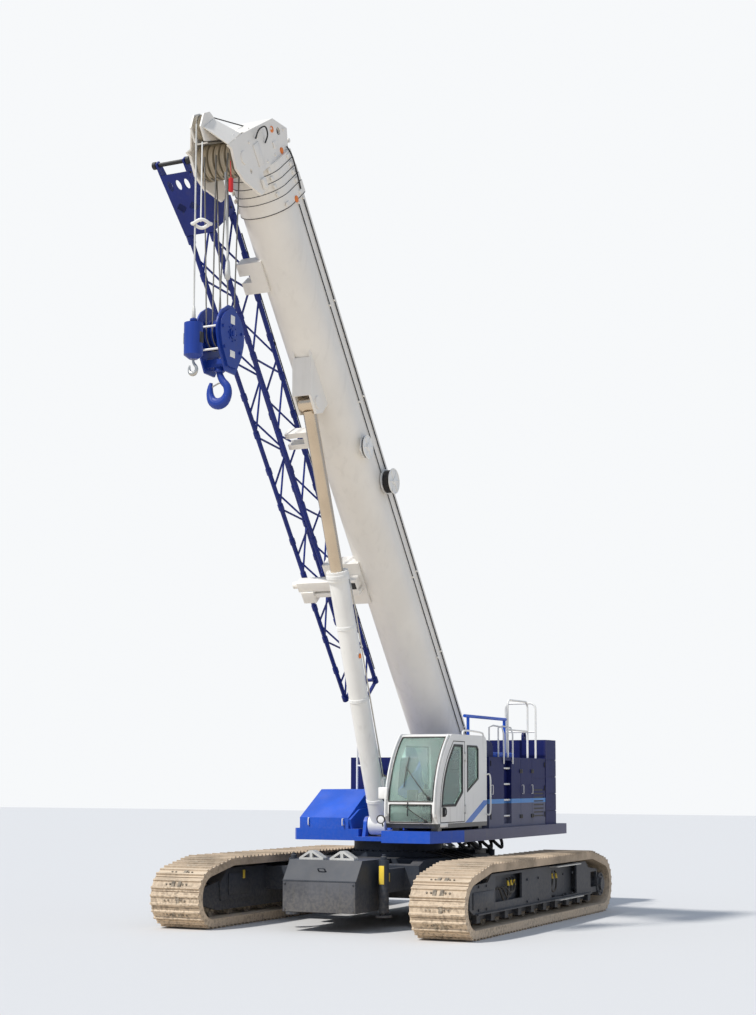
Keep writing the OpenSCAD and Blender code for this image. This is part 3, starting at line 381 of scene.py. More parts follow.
def finish(name, colour, rough=0.45, metal=0.0, spread=0.12, top=0.25, low=0.4, up_to=1.2, streak=0.2,
           dirt=(0.42, 0.36, 0.28), depth=0.12, scale=60.0, coat=0.0, paint=None, shine=0.5):
    """A weathered finish: colour that varies by spread, then streaks, then dust."""
    m, t, shader = material(name)
    cloud = remap(t, noise(t, 1.1, 5.0), 0.35, 0.65)
    if paint:
        base = mix(t, 1.0, paint(t), mix(t, cloud, (1 - spread,) * 3, (1.0,) * 3), "MULTIPLY")
    else:
        base = mix(t, cloud, [c * (1 - spread) for c in colour], [min(c * (1 + spread), 1.0) for c in colour])
    wet = use(t, streaks, Colour=base, Streak_Colour=[c * 0.35 for c in dirt], Strength=streak)
    dirty = use(t, dust, Colour=wet["Colour"], Dust_Colour=dirt, On_Top=top, Low_Down=low, Up_To=up_to)
    dull = remap(t, dirty["Mask"], 0.0, 0.8, rough, min(rough + 0.4, 0.95))
    fill(t, shader, Base_Color=dirty["Colour"], Roughness=dull, Metallic=metal, Specular_IOR_Level=shine,
         Normal=use(t, grain, Scale=scale, Depth=depth)["Normal"])
    if coat:
        fill(t, shader, Coat_Weight=coat, Coat_Roughness=0.12)
    return m


def bands(ground, *rules):
    """Paint by place: each rule is (axis, slant, low, high, colour), true where the axis value plus
    slant times X lies between low and high."""
    def paint(t):
        xyz = object_xyz(t)
        colour = ground
        for axis, slant, low, high, c in rules:
            value = math_node(t, "MULTIPLY_ADD", xyz["X"], slant, xyz[axis], clamp=False)
            above, below = math_node(t, "GREATER_THAN", value, low), math_node(t, "LESS_THAN", value, high)
            colour = mix(t, product(t, above, below), colour, c)
        return colour
    return paint


# The second colour here is painted shade: the blue paint, coloured as it looks in shade.
BLUE, BLUE_IN_SHADE, WHITE = (0.008, 0.092, 0.58), (0.01, 0.016, 0.105), (0.84, 0.845, 0.83)
GLOSSY = {"coat": 0.1, "shine": 0.3}
PANEL = {"spread": 0.04, "low": 0.0, "top": 0.15, "streak": 0.15}
SHADE_BLUE_SETTINGS = {"top": 0.12, "streak": 0.1, "shine": 0.15}
WIRE = {"top": 0.0, "low": 0.0, "streak": 0.0, "depth": 0.5, "scale": 160.0}
PLASTIC = {"spread": 0.05, "top": 0.05, "low": 0.0, "streak": 0.05}
blue = finish("blue paint", BLUE, 0.35, low=0.15, up_to=2.2, top=0.06, streak=0.1, **GLOSSY)
# This finish is painted shade: the blue paint in its shaded colour.
shade_blue_finish = finish("blue paint in painted shade", BLUE_IN_SHADE, low=0.05, **SHADE_BLUE_SETTINGS)
cream = finish("boom paint", (0.86, 0.835, 0.785), 0.46, spread=0.025, low=0.0, top=0.06, streak=0.07, coat=0.08)
white = finish("white paint", WHITE, 0.38, coat=0.2, **PANEL)
slate = finish("slate paint", (0.036, 0.044, 0.06), 0.5, top=0.16, low=0.14, streak=0.15, shine=0.3,
               dirt=(0.3, 0.27, 0.23))
shoe = finish("dusty shoe", (0.38, 0.3, 0.22), 0.85, top=0.8, low=0.9, up_to=1.4, streak=0.0,
              dirt=(0.62, 0.51, 0.385), depth=0.5, scale=35.0, spread=0.35)
roller = finish("muddy roller", (0.1, 0.085, 0.07), 0.8, top=0.7, low=0.8, depth=0.4)
black = finish("black paint", (0.015, 0.016, 0.018), 0.5, spread=0.3, low=0.2)
rubber = finish("black hose", (0.018, 0.018, 0.019), 0.62, spread=0.3, top=0.2, low=0.1, depth=0.2, scale=140.0)
steel = finish("bare steel", (0.52, 0.52, 0.5), 0.32, metal=1.0, top=0.1, low=0.2, streak=0.1)
step_grey = finish("step metal", (0.62, 0.63, 0.62), metal=0.6, top=0.2, low=0.35, up_to=1.4)
rope = finish("wire rope", (0.24, 0.23, 0.21), 0.42, metal=0.8, **WIRE)
bright_rope = finish("new rope", (0.62, 0.62, 0.6), 0.5, metal=0.3, **WIRE)
yellow = finish("sheave plastic", (0.46, 0.4, 0.3), 0.5, top=0.1, low=0.0, spread=0.15)
rod_tan = finish("cylinder rod", (0.62, 0.53, 0.42), 0.22, metal=0.85, top=0.0, low=0.0, streak=0.1, spread=0.06)
orange = finish("orange marker", (0.85, 0.22, 0.03), 0.5, **PLASTIC)
red = finish("red lens", (0.55, 0.02, 0.02), 0.25, **PLASTIC)
seat_cloth = finish("seat cloth", (0.035, 0.037, 0.042), 0.9, spread=0.2, top=0.1, low=0.0, depth=0.4, scale=220.0)

glass, t, shader = material("tinted glass")
tint = mix(t, remap(t, noise(t, 3.0, 4.0), 0.4, 0.7), (0.74, 0.92, 0.87), (0.82, 0.95, 0.91))
fill(t, shader, Base_Color=tint, Roughness=0.04, Transmission_Weight=0.85, IOR=1.15)
print(len(bpy.data.materials), "finishes")

# %% [markdown]
# The imported solids carry only flat colours. Each one belongs to a slot in the part's record, so a
# table from slot to finish paints them all, and a few get a finish of their own because the real
# machine is painted in bands there: blue wedges on the cab, three tones along the housing. The
# housing's navy top tone, the deck's dark rear and the jib's dark blue are painted shade: the blue
# paint, coloured as it looks in shade.

# %% Paint for the solids
cab_paint = finish("cab paint", WHITE, 0.36, coat=0.3, **PANEL, paint=bands(
    WHITE, ("Z", 0.427, 1.8, 1.934, (0.02, 0.16, 0.6)), ("Z", 0.0, 2.097, 4.0, WHITE),
    ("Z", 0.0, 1.0, 1.725, (0.05, 0.055, 0.06))))
# The housing's dark ground is painted shade on the blue paint; the grey lower band and the light-blue stripe are
# its own two-tone paint.
housing_paint_and_shade = finish("housing paint with painted shade", BLUE_IN_SHADE, low=0.0, **SHADE_BLUE_SETTINGS, paint=bands(
    BLUE_IN_SHADE, ("Z", 0.0, 1.0, 2.03, (0.13, 0.138, 0.215)), ("Z", 0.0, 2.03, 2.11, (0.13, 0.33, 0.72))))
# Behind x = 0.8 the deck is coloured a dark slate-blue: painted shade on the blue paint.
deck_paint_and_shade = finish("deck paint with painted shade", BLUE, 0.4, low=0.1, up_to=2.0, top=0.2, streak=0.15, **GLOSSY,
                    paint=bands(BLUE, ("X", 0.0, -9.0, 0.8, (0.055, 0.066, 0.16))))
# The jib's dark blue is painted shade: the blue paint coloured as it looks in shade.
jib_shade_blue = finish("jib blue in painted shade", (0.007, 0.022, 0.2), coat=0.04, low=0.0, top=0.06, streak=0.1, shine=0.3)
hook_blue = finish("hook paint", (0.009, 0.042, 0.3), 0.35, coat=0.1, low=0.0, top=0.1, streak=0.1, shine=0.4)
SLOT_FINISH = {"frame_dark": slate, "weight_dark": slate, "track_steel": shoe, "step_grey": step_grey,
               "paint_blue": blue, "paint_navy": shade_blue_finish, "iron": black, "rail_white": white,
               "paint_white": white, "tinted_glass": glass, "seat_black": seat_cloth, "paint_cream": cream,
               "sheave_nylon": yellow, "rod_chrome": rod_tan, "wire_rope": rope, "hook_steel": steel}
OWN_FINISH = {name: paint for paint, names in (
    (deck_paint_and_shade, "deck"), (jib_shade_blue, "jib_lattice jib_head"), (cab_paint, "cab_shell cab_door"),
    (housing_paint_and_shade, "housing_left housing_right"), (blue, "winches"), (hook_blue, "hook_block hook ball_weight"),
    (roller, "sprocket_left sprocket_right idler_left idler_right rollers_left rollers_right"))
    for name in names.split()}
for entry in frame["record"]["subparts"]:
    name = entry["node"]
    nodes[name].data.materials.clear()
    nodes[name].data.materials.append(OWN_FINISH.get(name, SLOT_FINISH[entry["material_slot"]]))
print("painted", len(nodes))

# %% [markdown]
# The floor is a plain pale sheet, far wider than the crane, and it keeps the shadow. The camera sees
# it pale, while the light that it throws back under the boom has the tan of dry ground. The sky
# shows white to the camera and through the glass, and lights the crane a little dimmer and bluer.

# %% Floor and light
floor_mesh = bpy.data.meshes.new("floor")
floor_mesh.from_pydata([(-90, -90, 0), (90, -90, 0), (90, 90, 0), (-90, 90, 0)], [], [(0, 1, 2, 3)])
floor = bpy.data.objects.new("floor", floor_mesh)
bpy.context.scene.collection.objects.link(floor)
pale, t, shader = material("pale floor")
seen = node(t, "LightPath").outputs["Is Camera Ray"]
fill(t, shader, Base_Color=mix(t, seen, (0.7, 0.625, 0.53), (0.64, 0.64, 0.64)), Roughness=0.9)
floor_mesh.materials.append(pale)

world = bpy.data.worlds.new("sky")
bpy.context.scene.world = world
world.use_nodes = True
t = world.node_tree
rays = node(t, "LightPath").outputs
seen = math_node(t, "MAXIMUM", rays["Is Camera Ray"], rays["Is Transmission Ray"])
fill(t, t.nodes["Background"], Color=mix(t, seen, (0.44, 0.5, 0.6), (0.93, 0.945, 0.96)), Strength=1.0)

sun_data = bpy.data.lights.new("sun", "SUN")
sun_data.energy = 3.3
sun_data.angle = math.radians(3)
sun_data.color = (1.0, 0.97, 0.92)
sun = bpy.data.objects.new("sun", sun_data)
sun.rotation_euler = (math.radians(40), 0, math.radians(62))
bpy.context.scene.collection.objects.link(sun)
print("light set")

# %% [markdown]
# Each steel shoe of a crawler belt is bolted to the chain, and mud packs into the pocket between
# its two bars. The solids have the belt's outline, so the bolts and pockets are added here, one
# small set that is repeated round the belt by walking along its path.

# %% Bolts and mud pockets on every shoe
UP, DOWN, LEFTWARD = (0, 0, 1), (0, 0, -1), (0, 1, 0)
TRACK_MIDDLE = 2.33


def belt_points(pitch):
    """The middle of every shoe round the belt's path: (x, z, direction). The path is walked as
    straight stretches and arcs, and the shoes share its whole length evenly."""
    half, r, top, shoulder, bend_r, lift = 3.248, 0.48, 1.132, 2.56, 0.3, 0.032
    dx, dz = half - shoulder, r + bend_r - top + lift
    slope = math.asin((bend_r - r) / math.hypot(dx, dz)) - math.atan2(dz, dx)
    straight = (math.sqrt(dx * dx + dz * dz - (bend_r - r) ** 2), 0.0)
    wheel, bend = (r * (math.pi - slope), math.pi - slope), (bend_r * slope, slope)
    rows = [(2 * half, 0.0), wheel, straight, bend, (2 * shoulder, 0.0), bend, straight, wheel]
    length = sum(q[0] for q in rows)
    count = round(length / pitch)
    out = []
    for s in (np.arange(count) + 0.475) * length / count:
        p, d = np.array([-half, lift]), 0.0
        for l, turn in rows:
            t = min(s, l)
            if turn:
                rad, e = l / turn, d + turn * t / l
                p = p + rad * np.array([math.sin(e) - math.sin(d), math.cos(d) - math.cos(e)])
                d = e
            else:
                p = p + t * np.array([math.cos(d), math.sin(d)])
            s -= t
            if s <= 1e-9:
                break
        out.append((p[0], p[1], d))
    return out


def along_belt(shape, places, side):
    """Repeats a shape of (along, left, outwards) points at every place of one belt: each copy is
    turned so that its along axis follows the belt."""
    points, faces = np.asarray(shape[0]), shape[1]
    p = np.asarray(places)
    c, s = np.cos(p[:, 2])[:, None], np.sin(p[:, 2])[:, None]
    out = np.empty((len(p),) + points.shape)
    out[..., 0] = p[:, :1] + points[:, 0] * c + points[:, 2] * s
    out[..., 1] = side * TRACK_MIDDLE + points[:, 1]
    out[..., 2] = p[:, 1:2] + points[:, 0] * s - points[:, 2] * c
    n = len(points)
    return out.reshape(-1, 3), [[q + k * n for q in f] for k in range(len(p)) for f in faces]


belt = belt_points(0.262)
print(len(belt), "shoes on each belt")
bolts, clods = [], []
rng = np.random.default_rng(7)
for side in (1, -1):
    for y in (-0.19, -0.12, 0.12, 0.19):
        head = turned([(-0.002, 0.017), (0.012, 0.017), (0.016, 0.011)], (0, y, 0), UP, 6)
        bolts.append(along_belt(head, belt, side))
    for y in (-0.06, 0.06):
        lump = pillow((-0.055, y - 0.035, -0.004), (0.055, y + 0.035, 0.014), 0.009, n=1)
        clods.append(along_belt(lump, [b for b in belt if rng.random() < 0.8], side))
make("shoe_bolts", "root", roller, bolts)
make("mud_pockets", "root", roller, clods)

# %% [markdown]
# The heavy block in front of the crawler frame has a worn steel face, a folded upper edge and two
# jack posts with plain yellow tags beside it. The same set stands at the back, so it is made once
# and turned half round.

# %% Faces, bolts and tags of the carbody weights
worn_face = finish("worn steel face", (0.075, 0.078, 0.09), 0.5, metal=0.15, spread=0.25, top=0.2, low=0.3,
                   up_to=1.0, streak=0.7, dirt=(0.25, 0.24, 0.22), shine=0.3)
tag_yellow = finish("yellow tag", (0.8, 0.58, 0.04), 0.5, spread=0.1, top=0.1, low=0.3)


def front_and_back(shapes):
    """The shapes, and the same ones half a turn round the slewing axis."""
    return shapes + [(points * [-1, -1, 1], faces) for points, faces in shapes]


weight_bolts = [cap((3.111, y, z), (1, 0, 0), 0.018, 0.012, 0.018, 0.01)
                for y in (-0.62, 0.62) for z in (0.36, 0.775)]
weight_bolts.append(hose([(2.98, -0.06, 0.97), (3.03, -0.05, 1.02), (3.03, 0.05, 1.02), (2.98, 0.06, 0.97)],
                         0.012, 10))
tags = []
for y in (-0.83, 0.83):
    edge = y + 0.061 * np.sign(y)
    tags += [pillow((2.484, y - 0.045, 0.76), (2.492, y + 0.045, 1.06), 0.003),
             pillow((2.3, edge - 0.003, 0.8), (2.42, edge + 0.003, 0.94), 0.002)]
    weight_bolts.append(turned([(0, 0.05), (0.05, 0.05), (0.06, 0.03), (0.09, 0.03)], (2.4, y, 1.15), UP, 16))
make("weight_faces", "root", worn_face, front_and_back([
    pillow((3.1, -0.652, 0.326), (3.112, 0.652, 0.808), 0.004)]))
make("weight_bolts", "root", slate, front_and_back(weight_bolts))
tags = front_and_back(tags)

# %% [markdown]
# The crawler frames carry fittings that someone on site uses: step plates, grease covers, hoses to
# the drive motors with coloured tags, and the bolted ring that the upper works turn on.

# %% Frame fittings
fittings, hoses = [], []
for side in (1, -1):
    out = (0, side, 0)

    def at(x, away, z):
        """A point at a distance away from one frame's middle line, outwards."""
        return (x, TRACK_MIDDLE * side + side * away, z)

    fittings += [cap(at(x, 0.375, z), out, 0.022, 0.014, 0.02, 0.012)
                 for x in (-1.6, -1.1, 0.2, 0.75, 2.62, 2.95) for z in (0.44, 0.8)]
    fittings.append(pillow(at(2.34, 0.378, 0.46), at(3.2, 0.392, 0.72), 0.006))
    fittings += [cap(p, out, 0.02, 0.016, 0.022, 0.011)
                 for p in arc((-3.248, 0.512), 0.17, n=7, third=at(0, 0.395, 0)[1])]
    fittings += [pillow(at(low, -0.256, 0.5), at(high, -0.27, 0.86), 0.006)
                 for low, high in ((1.72, 2.42), (-2.42, -1.72))]
    tags.append(pillow(at(1.88, -0.272, 0.755), at(1.95, -0.278, 0.9), 0.002))
    for x, sag in ((1.15, 0.2), (1.3, 0.26), (1.45, 0.31), (-0.75, 0.24), (-0.95, 0.3)):
        hoses.append(hose([at(x, 0.27, 0.86), at(x + 0.02, 0.31, 0.8), at(x + 0.12, 0.335, 0.86 - sag),
                           at(x + 0.3, 0.335, 0.83 - sag), at(x + 0.44, 0.31, 0.72),
                           at(x + 0.5, 0.262, 0.7)], 0.016, 10))
        tags.append(tube([at(x + 0.015, 0.3, 0.815), at(x + 0.045, 0.32, 0.735)], 0.021))
fittings += [cap(p, UP, 0.022, 0.02, 0.028, 0.013, 6) for p in arc((0, 0), 0.81, n=36, third=1.2103, axis=2)]
make("yellow_tags", "root", tag_yellow, tags)
make("frame_fittings", "root", slate, fittings)
for side in (1, -1):
    for x in (-0.45, -0.2, 0.1, 0.35):
        hoses.append(hose([(x, side * 0.55, 1.121), (x + 0.05, side * 0.75, 1.2), (x + 0.1, side * 1.15, 1.14),
                           (x + 0.05, side * 1.6, 1.00), (x - 0.05, side * 1.95, 0.96),
                           (x - 0.05, side * 2.09, 0.9)], 0.02, 10))
make("frame_hoses", "root", rubber, hoses)

# %% [markdown]
# The cab is mostly glass held in black rubber. A rim is the window's outline with a square section
# carried round it. Rails, wipers, mirror, lamp and handles are tubes and rounded blocks.

# %% Window rubbers of the cab
def inward(outline, d):
    """A convex outline, drawn anticlockwise, moved inwards by d: each corner goes along the sum of
    its two edges' inward directions, scaled so that both edges move by d."""
    o = np.asarray(outline, float)
    u = o - np.roll(o, 1, 0)
    u /= np.linalg.norm(u, axis=1)[:, None]
    p = np.stack([-u[:, 1], u[:, 0]], 1)
    q = np.roll(p, -1, 0)
    return o + d * (p + q) / (1 + (p * q).sum(1))[:, None]


def rim(outline, width, low, high, axis=1):
    """A frame round an outline: four corners of its section at every corner of the outline."""
    a, b = np.asarray(outline, float), inward(outline, width)
    loops = [np.insert(q, axis, w, 1) for q, w in ((a, low), (a, high), (b, high), (b, low))]
    return np.stack(loops, 1).reshape(-1, 3), grid_faces(len(a), 4, True, True)


# The windscreen is part of a circle in the side view, between the cab's right and left side.
SCREEN, SCREEN_R = (0.08, 1.9), 1.68
RIGHT, LEFT = 0.54, 1.49


def on_screen(a, y, out=0.0):
    """A point on the windscreen, from its angle in degrees and its place from right to left."""
    return arc(SCREEN, SCREEN_R + out, a, a + 1, 1, third=y)[0]


door_pane = np.vstack([[(0.93, 2.005), (1.545, 2.005)], arc(SCREEN, SCREEN_R - 0.215, 5, 41),
                       [(1.0, 3.06), (0.6, 3.06), (0.6, 2.235)]])
door_edge = np.vstack([[(0.505, 1.74), (1.585, 1.74)], arc(SCREEN, SCREEN_R - 0.155, 0, 44),
                       [(1.02, 3.115), (0.505, 3.115)]])
quarter_pane = [(-0.13, 2.47), (0.4, 2.24), (0.4, 3.055), (-0.06, 3.055), (-0.13, 2.99)]
right_pane = [(-0.1, 2.25), (0.9, 2.1), (1.35, 2.2), (1.25, 2.75), (1.0, 3.04), (-0.1, 3.04)]
rear_pane = [(RIGHT + 0.13, 2.3), (LEFT - 0.13, 2.3), (LEFT - 0.13, 3.0), (RIGHT + 0.13, 3.0)]
rubbers = [rim(quarter_pane, 0.03, LEFT - 0.012, LEFT + 0.008),
           rim(right_pane, 0.03, RIGHT - 0.008, RIGHT + 0.012),
           rim(rear_pane, 0.03, -0.548, -0.53, axis=0)]
for low, high, inset in ((6.6, 49.6, 0.075), (-5.2, 4.8, 0.095)):
    ends = RIGHT + inset, LEFT - inset
    rubbers += [tube(arc(SCREEN, SCREEN_R - 0.004, low, high, third=y), 0.014, 6) for y in ends]
    rubbers += [tube([on_screen(a, y, -0.004) for y in ends], 0.014, 6) for a in (low, high)]
make("window_rubbers", "upper", black, rubbers)
make("door_rubber", "door", black, [
    rim(door_pane, 0.04, LEFT - 0.012, LEFT + 0.009), rim(door_edge, 0.01, LEFT - 0.004, LEFT + 0.003),
    pillow((1.47, LEFT + 0.012, 1.84), (1.535, LEFT + 0.05, 2.00), 0.012),
    hose([(1.5, LEFT + 0.045, 1.86), (1.505, LEFT + 0.072, 1.89), (1.505, LEFT + 0.072, 1.96),
          (1.5, LEFT + 0.045, 1.99)], 0.01, 10)])

# %% Rails, wipers, mirror and lamp of the cab
rails = []
for y in (RIGHT + 0.03, LEFT - 0.03):
    run = arc(SCREEN, SCREEN_R + 0.035, -2, 50, 22, third=y)
    rails.append(tube(np.vstack([run[:1] - [0.05, 0, 0], run, run[-1] + [(-0.16, 0, -0.045), (-0.17, 0, -0.1)]]),
                      0.016, 8))
rails.append(hose([(x, LEFT - 0.02, z) for x, z in (
    (0.55, 3.2), (0.52, 3.29), (0.3, 3.31), (-0.3, 3.29), (-0.42, 3.25), (-0.46, 3.14))], 0.016))
rails.append(hose([(x, LEFT + out, z) for x, out, z in (
    (-0.5, -0.002, 2.55), (-0.52, 0.07, 2.53), (-0.53, 0.075, 2.2), (-0.52, 0.07, 1.87), (-0.5, -0.002, 1.85))],
    0.014))
make("cab_rails", "upper", white, rails)

wipers = []
for y0, a0, y1, a1 in ((1.34, 8.5, 0.86, 27.0), (1.3, -4.5, 0.95, 3.5)):
    wipers += [hose([on_screen(a0, y0, 0.012), on_screen(a0 + 1, y0 - 0.02, 0.035),
                     on_screen((a0 + a1) / 2, (y0 + y1) / 2, 0.04), on_screen(a1, y1, 0.026)], 0.008, 6),
               tube([on_screen(a0 + (a1 - a0) * q, y1 + 0.02, 0.012) for q in np.linspace(0.35, 1.35, 8)],
                    0.009, 6),
               cap(on_screen(a0, y0), (1, 0, 0.1), 0.03, 0.03, 0.04, 0.018, 12)]
wipers.append(hose([(1.62, 0.56, 2.05), (1.72, 0.5, 2.12), (1.74, 0.5, 2.2)], 0.012))
make("wipers", "upper", black, wipers)
make("mirror_box", "upper", white, [
    pillow((1.715, 0.43, 2.13), (1.775, 0.6, 2.33), 0.018),
    pillow((1.3, LEFT + 0.002, 1.668), (1.62, LEFT + 0.018, 1.735), 0.006)])
LAMP, AHEAD, r = np.array([1.74, 0.5, 1.8]), (1, 0, -0.1), 0.075
make("work_lamps", "upper", black, [
    turned([(0, r * 0.5), (0.03, r * 0.9), (0.075, r), (0.085, r), (0.085, r * 0.86), (0.075, r * 0.84)],
           LAMP, AHEAD, 20),
    tube(LAMP + [(0.02, 0, -r * 0.8), (-0.02, 0, -r - 0.05)], 0.012, 8)])
lens = finish("lamp lens", (0.86, 0.87, 0.88), 0.12, **{**PLASTIC, "streak": 0.0}, depth=0.3, scale=90.0)
make("lamp_lenses", "upper", lens, [
    turned([(0, r * 0.5), (0.012, r * 0.84), (0.018, r * 0.5)], LAMP + (0.062, 0, -0.006), AHEAD, 20)])

# %% [markdown]
# Behind the glass someone sits at two joystick boxes with a screen in front. They show through the
# windows, so the seat is rebuilt as cushions and the controls are made as simple shapes.

# %% Inside the cab
mid = (RIGHT + LEFT) / 2
make("seat_cushions", "upper", seat_cloth, [
    pillow((-0.1, mid - 0.25, 1.95), (0.42, mid + 0.25, 2.07), 0.05),
    pillow((-0.21, mid - 0.24, 2.06), (-0.09, mid + 0.24, 2.62), 0.045),
    pillow((-0.19, mid - 0.13, 2.64), (-0.11, mid + 0.13, 2.78), 0.035)])
controls = []
for y in (mid - 0.295, mid + 0.295):
    controls += [pillow((-0.05, y - 0.05, 2.06), (0.46, y + 0.05, 2.14), 0.02),
                 tube([(0.4, y, 2.13), (0.43, y, 2.28)], [0.014, 0.01], 8),
                 pillow((0.4, y - 0.025, 2.27), (0.46, y + 0.025, 2.37), 0.022)]
controls += [pillow((1.1, y - 0.05, 1.76), (1.34, y + 0.05, 1.8), 0.015) for y in (mid - 0.12, mid + 0.12)]
controls += [pillow((1.00, mid - 0.36, 2.00), (1.1, mid - 0.18, 2.28), 0.02),
             pillow((0.93, mid - 0.1, 2.12), (1.02, mid + 0.1, 2.3), 0.02)]
make("cab_controls", "upper", black, controls)

# %% [markdown]
# The upper works carry small things that catch the light: handles, latches, hinges, louvre slats,
# valve blocks and lamps. Pipes and hoses drop from the deck to the boom's foot.

# %% Handles, latches and lamps of the upper works
def bow(a, b, lift, r):
    """A bent handle: two feet at a and b, and a bar held off by lift."""
    a, b, lift = (np.asarray(q, float) for q in (a, b, lift))
    run = [a, a + 0.8 * lift, a + lift + 0.1 * (b - a), b + lift + 0.1 * (a - b), b + 0.8 * lift, b]
    return tube(smooth(run, 4), r, 8)


handles = [bow((-0.7, -0.66, 2.281), (-0.7, -0.96, 2.281), (0, 0, 0.045), 0.011),
           bow((0.951, -0.62, 1.66), (0.951, -0.62, 1.77), (0.05, 0, 0), 0.01),
           bow((0.905, -1.3, 1.66), (0.905, -1.3, 1.78), (0.07, 0, 0), 0.01)]
handles += [bow((x, 1.491, 2.2), (x, 1.491, 2.36), (0, 0.035, 0), 0.008) for x in (-2.86, -2.36, -0.76)]
handles += [tube([(x, 1.505, 2.75), (x, 1.505, 3.3), (x, 1.47, 3.42), (x, 1.3, 3.45), (x, 1.22, 3.42),
                  (x, 1.22, 2.88)], 0.016, 8) for x in (-1.83, -1.36)]
make("handles", "upper", white, handles)

latches = [pillow((x - 0.03, 1.488, z - 0.035), (x + 0.03, 1.506, z + 0.035), 0.006)
           for x in (-2.96, -2.88, -2.34, -2.26) for z in (1.78, 2.62)]
latches += [tube([(x, 1.497, z - 0.05), (x, 1.497, z + 0.05)], 0.01, 8)
            for x in (-3.62, -0.72) for z in (1.8, 2.3, 2.75)]
for count, first, pitch, h, x0, x1, y0, y1 in ((8, 1.775, 0.07, 0.012, -3.55, -3.02, 1.48, 1.486),
                                               (10, 1.868, 0.08, 0.013, -3.47, -2.46, -1.487, -1.481)):
    for z in first + np.arange(count) * pitch:
        latches.append(plate([(x0, z - h), (x1, z - h), (x1, z + h), (x0, z + h)], y0, y1))
make("latches", "upper", black, latches)
make("tail_lamps", "upper", red, [
    pillow((-4.672, y - 0.1, 1.45), (-4.498, y + 0.1, 1.55), 0.006) for y in (-1.3, 1.3)])

# %% Valves, pipes and hoses round the boom's foot
pipes = []
for k in range(4):
    y = 0.7 + k * 0.13
    pipes.append(hose([(-0.8, y, 2.885), (-0.8, y, 3.02 + 0.02 * k), (-0.92, y, 3.1), (-1.1, y * 0.9, 3.14),
                       (-1.34, 0.62, 3.02), (-1.5, 0.6, 2.88)], 0.018))
for k in range(5):
    y = -0.575 - 0.035 * k
    pipes.append(hose([(-0.55, y, 2.282), (-0.55, y, 2.4 + 0.02 * k), (-0.75, y, 2.5 + 0.02 * k),
                       (-1.1, y, 2.44), (-1.3, y, 2.2), (-1.3, y, 1.9)], 0.016))
for k in range(4):
    x = 0.25 + 0.09 * k
    pipes.append(hose([(x, 0.38, 1.601), (x + 0.02, 0.4, 1.74 + 0.02 * k), (x + 0.2, 0.41, 1.86),
                       (x + 0.34, 0.4, 1.76), (x + 0.36, 0.39, 1.601)], 0.015))
for k in range(4):
    x = -0.2 - 0.55 * k
    pipes.append(hose([(x, 1.05, 1.4), (x - 0.05, 1.12, 1.3), (x - 0.22, 1.18, 1.235 - 0.01 * k),
                       (x - 0.4, 1.12, 1.3), (x - 0.46, 1.05, 1.4)], 0.03))
make("foot_hoses", "upper", rubber, pipes)
places = [-0.86 - 0.09 * k for k in range(5)]
valves = []
for x in places:
    valves += [pillow((x - 0.035, 0.86, 2.95), (x + 0.035, 1.02, 3.05), 0.012),
               turned([(0, 0.03), (0.05, 0.03), (0.06, 0.018), (0.09, 0.018)], (x, 0.94, 3.05), UP, 12)]
make("valve_block", "upper", white, valves)
make("valve_caps", "upper", tag_yellow, [
    cap((x, 0.94, 3.14), UP, 0.022, 0.03, 0.036, 0.012, 12) for x in places])
bars = [tube([(x0, 1.1, z0), (x1, 1.1, z1)], r) for x0, z0, x1, z1, r in (
    (-0.45, 3.6, -2.53, 3.6, 0.03), (-0.62, 3.6, -0.62, 3.16, 0.028), (-2.46, 3.6, -2.46, 2.865, 0.028),
    (-0.62, 3.17, -0.8, 2.86, 0.028))]
bars.append(pillow((-2.75, 0.66, 2.872), (-1.42, 1.2, 2.97), 0.02))
make("roof_bar", "upper", blue, bars)

# %% [markdown]
# Hoist rope lies on its drums in rows that touch. A ring per turn, a rope's width apart, reads as
# the wound rope.

# %% Rope on the drums
make("drum_rope", "upper", rope, [
    hoop((x, z), r, 0.0125, y, 32) for x, z, r in ((-3.23, 1.96, 0.222), (-3.27, 2.56, 0.182))
    for y in np.arange(-0.345, 0.35, 0.024)])

# %% [markdown]
# Along the boom run two thin cables in clips, and dark gaps show where one section slides in the
# next. The outline of a section is flat on its sides and top and round underneath.

# %% Seams and pads of the boom sections
def section_outline(w, h):
    """A section's outline as (left, height): down the left side, round the keel and up again."""
    keel = arc((0, -h / 2 + w), w, 0, -180, 24)
    return np.vstack([[(w - 0.03, h / 2), (w, h / 2 - 0.03)], keel, [(-w, h / 2 - 0.03), (-w + 0.03, h / 2)]])


BASE_END, COLLAR = 11.64, 0.13
seams, pads = [], []
for k in range(5):
    w, h = 0.444 - 0.006 * k, 0.988 - 0.012 * k
    a = BASE_END + COLLAR * k - (0.128 if k else 0.2)
    loop = np.insert(section_outline(w + 0.001, h + 0.002) - [0, 0.01], 0, a, 1)
    seams.append(tube(on_boom(loop), 0.007, 6, close=True))
    for s in (-1, 1):
        for b in (-0.3 if k else -0.2, 0.3):
            wide = w if b > -0.04 else math.sqrt(max(w * w - (b + h / 2 - w + 0.01) ** 2, 0.01))
            pads.append(pillow((a + 0.03, s * (wide - 0.004), b - 0.05), (a + 0.1, s * (wide + 0.022), b + 0.05),
                               0.008, on_boom))
make("section_seams", "boom", black, seams)
make("collar_pads", "boom", cream, pads)

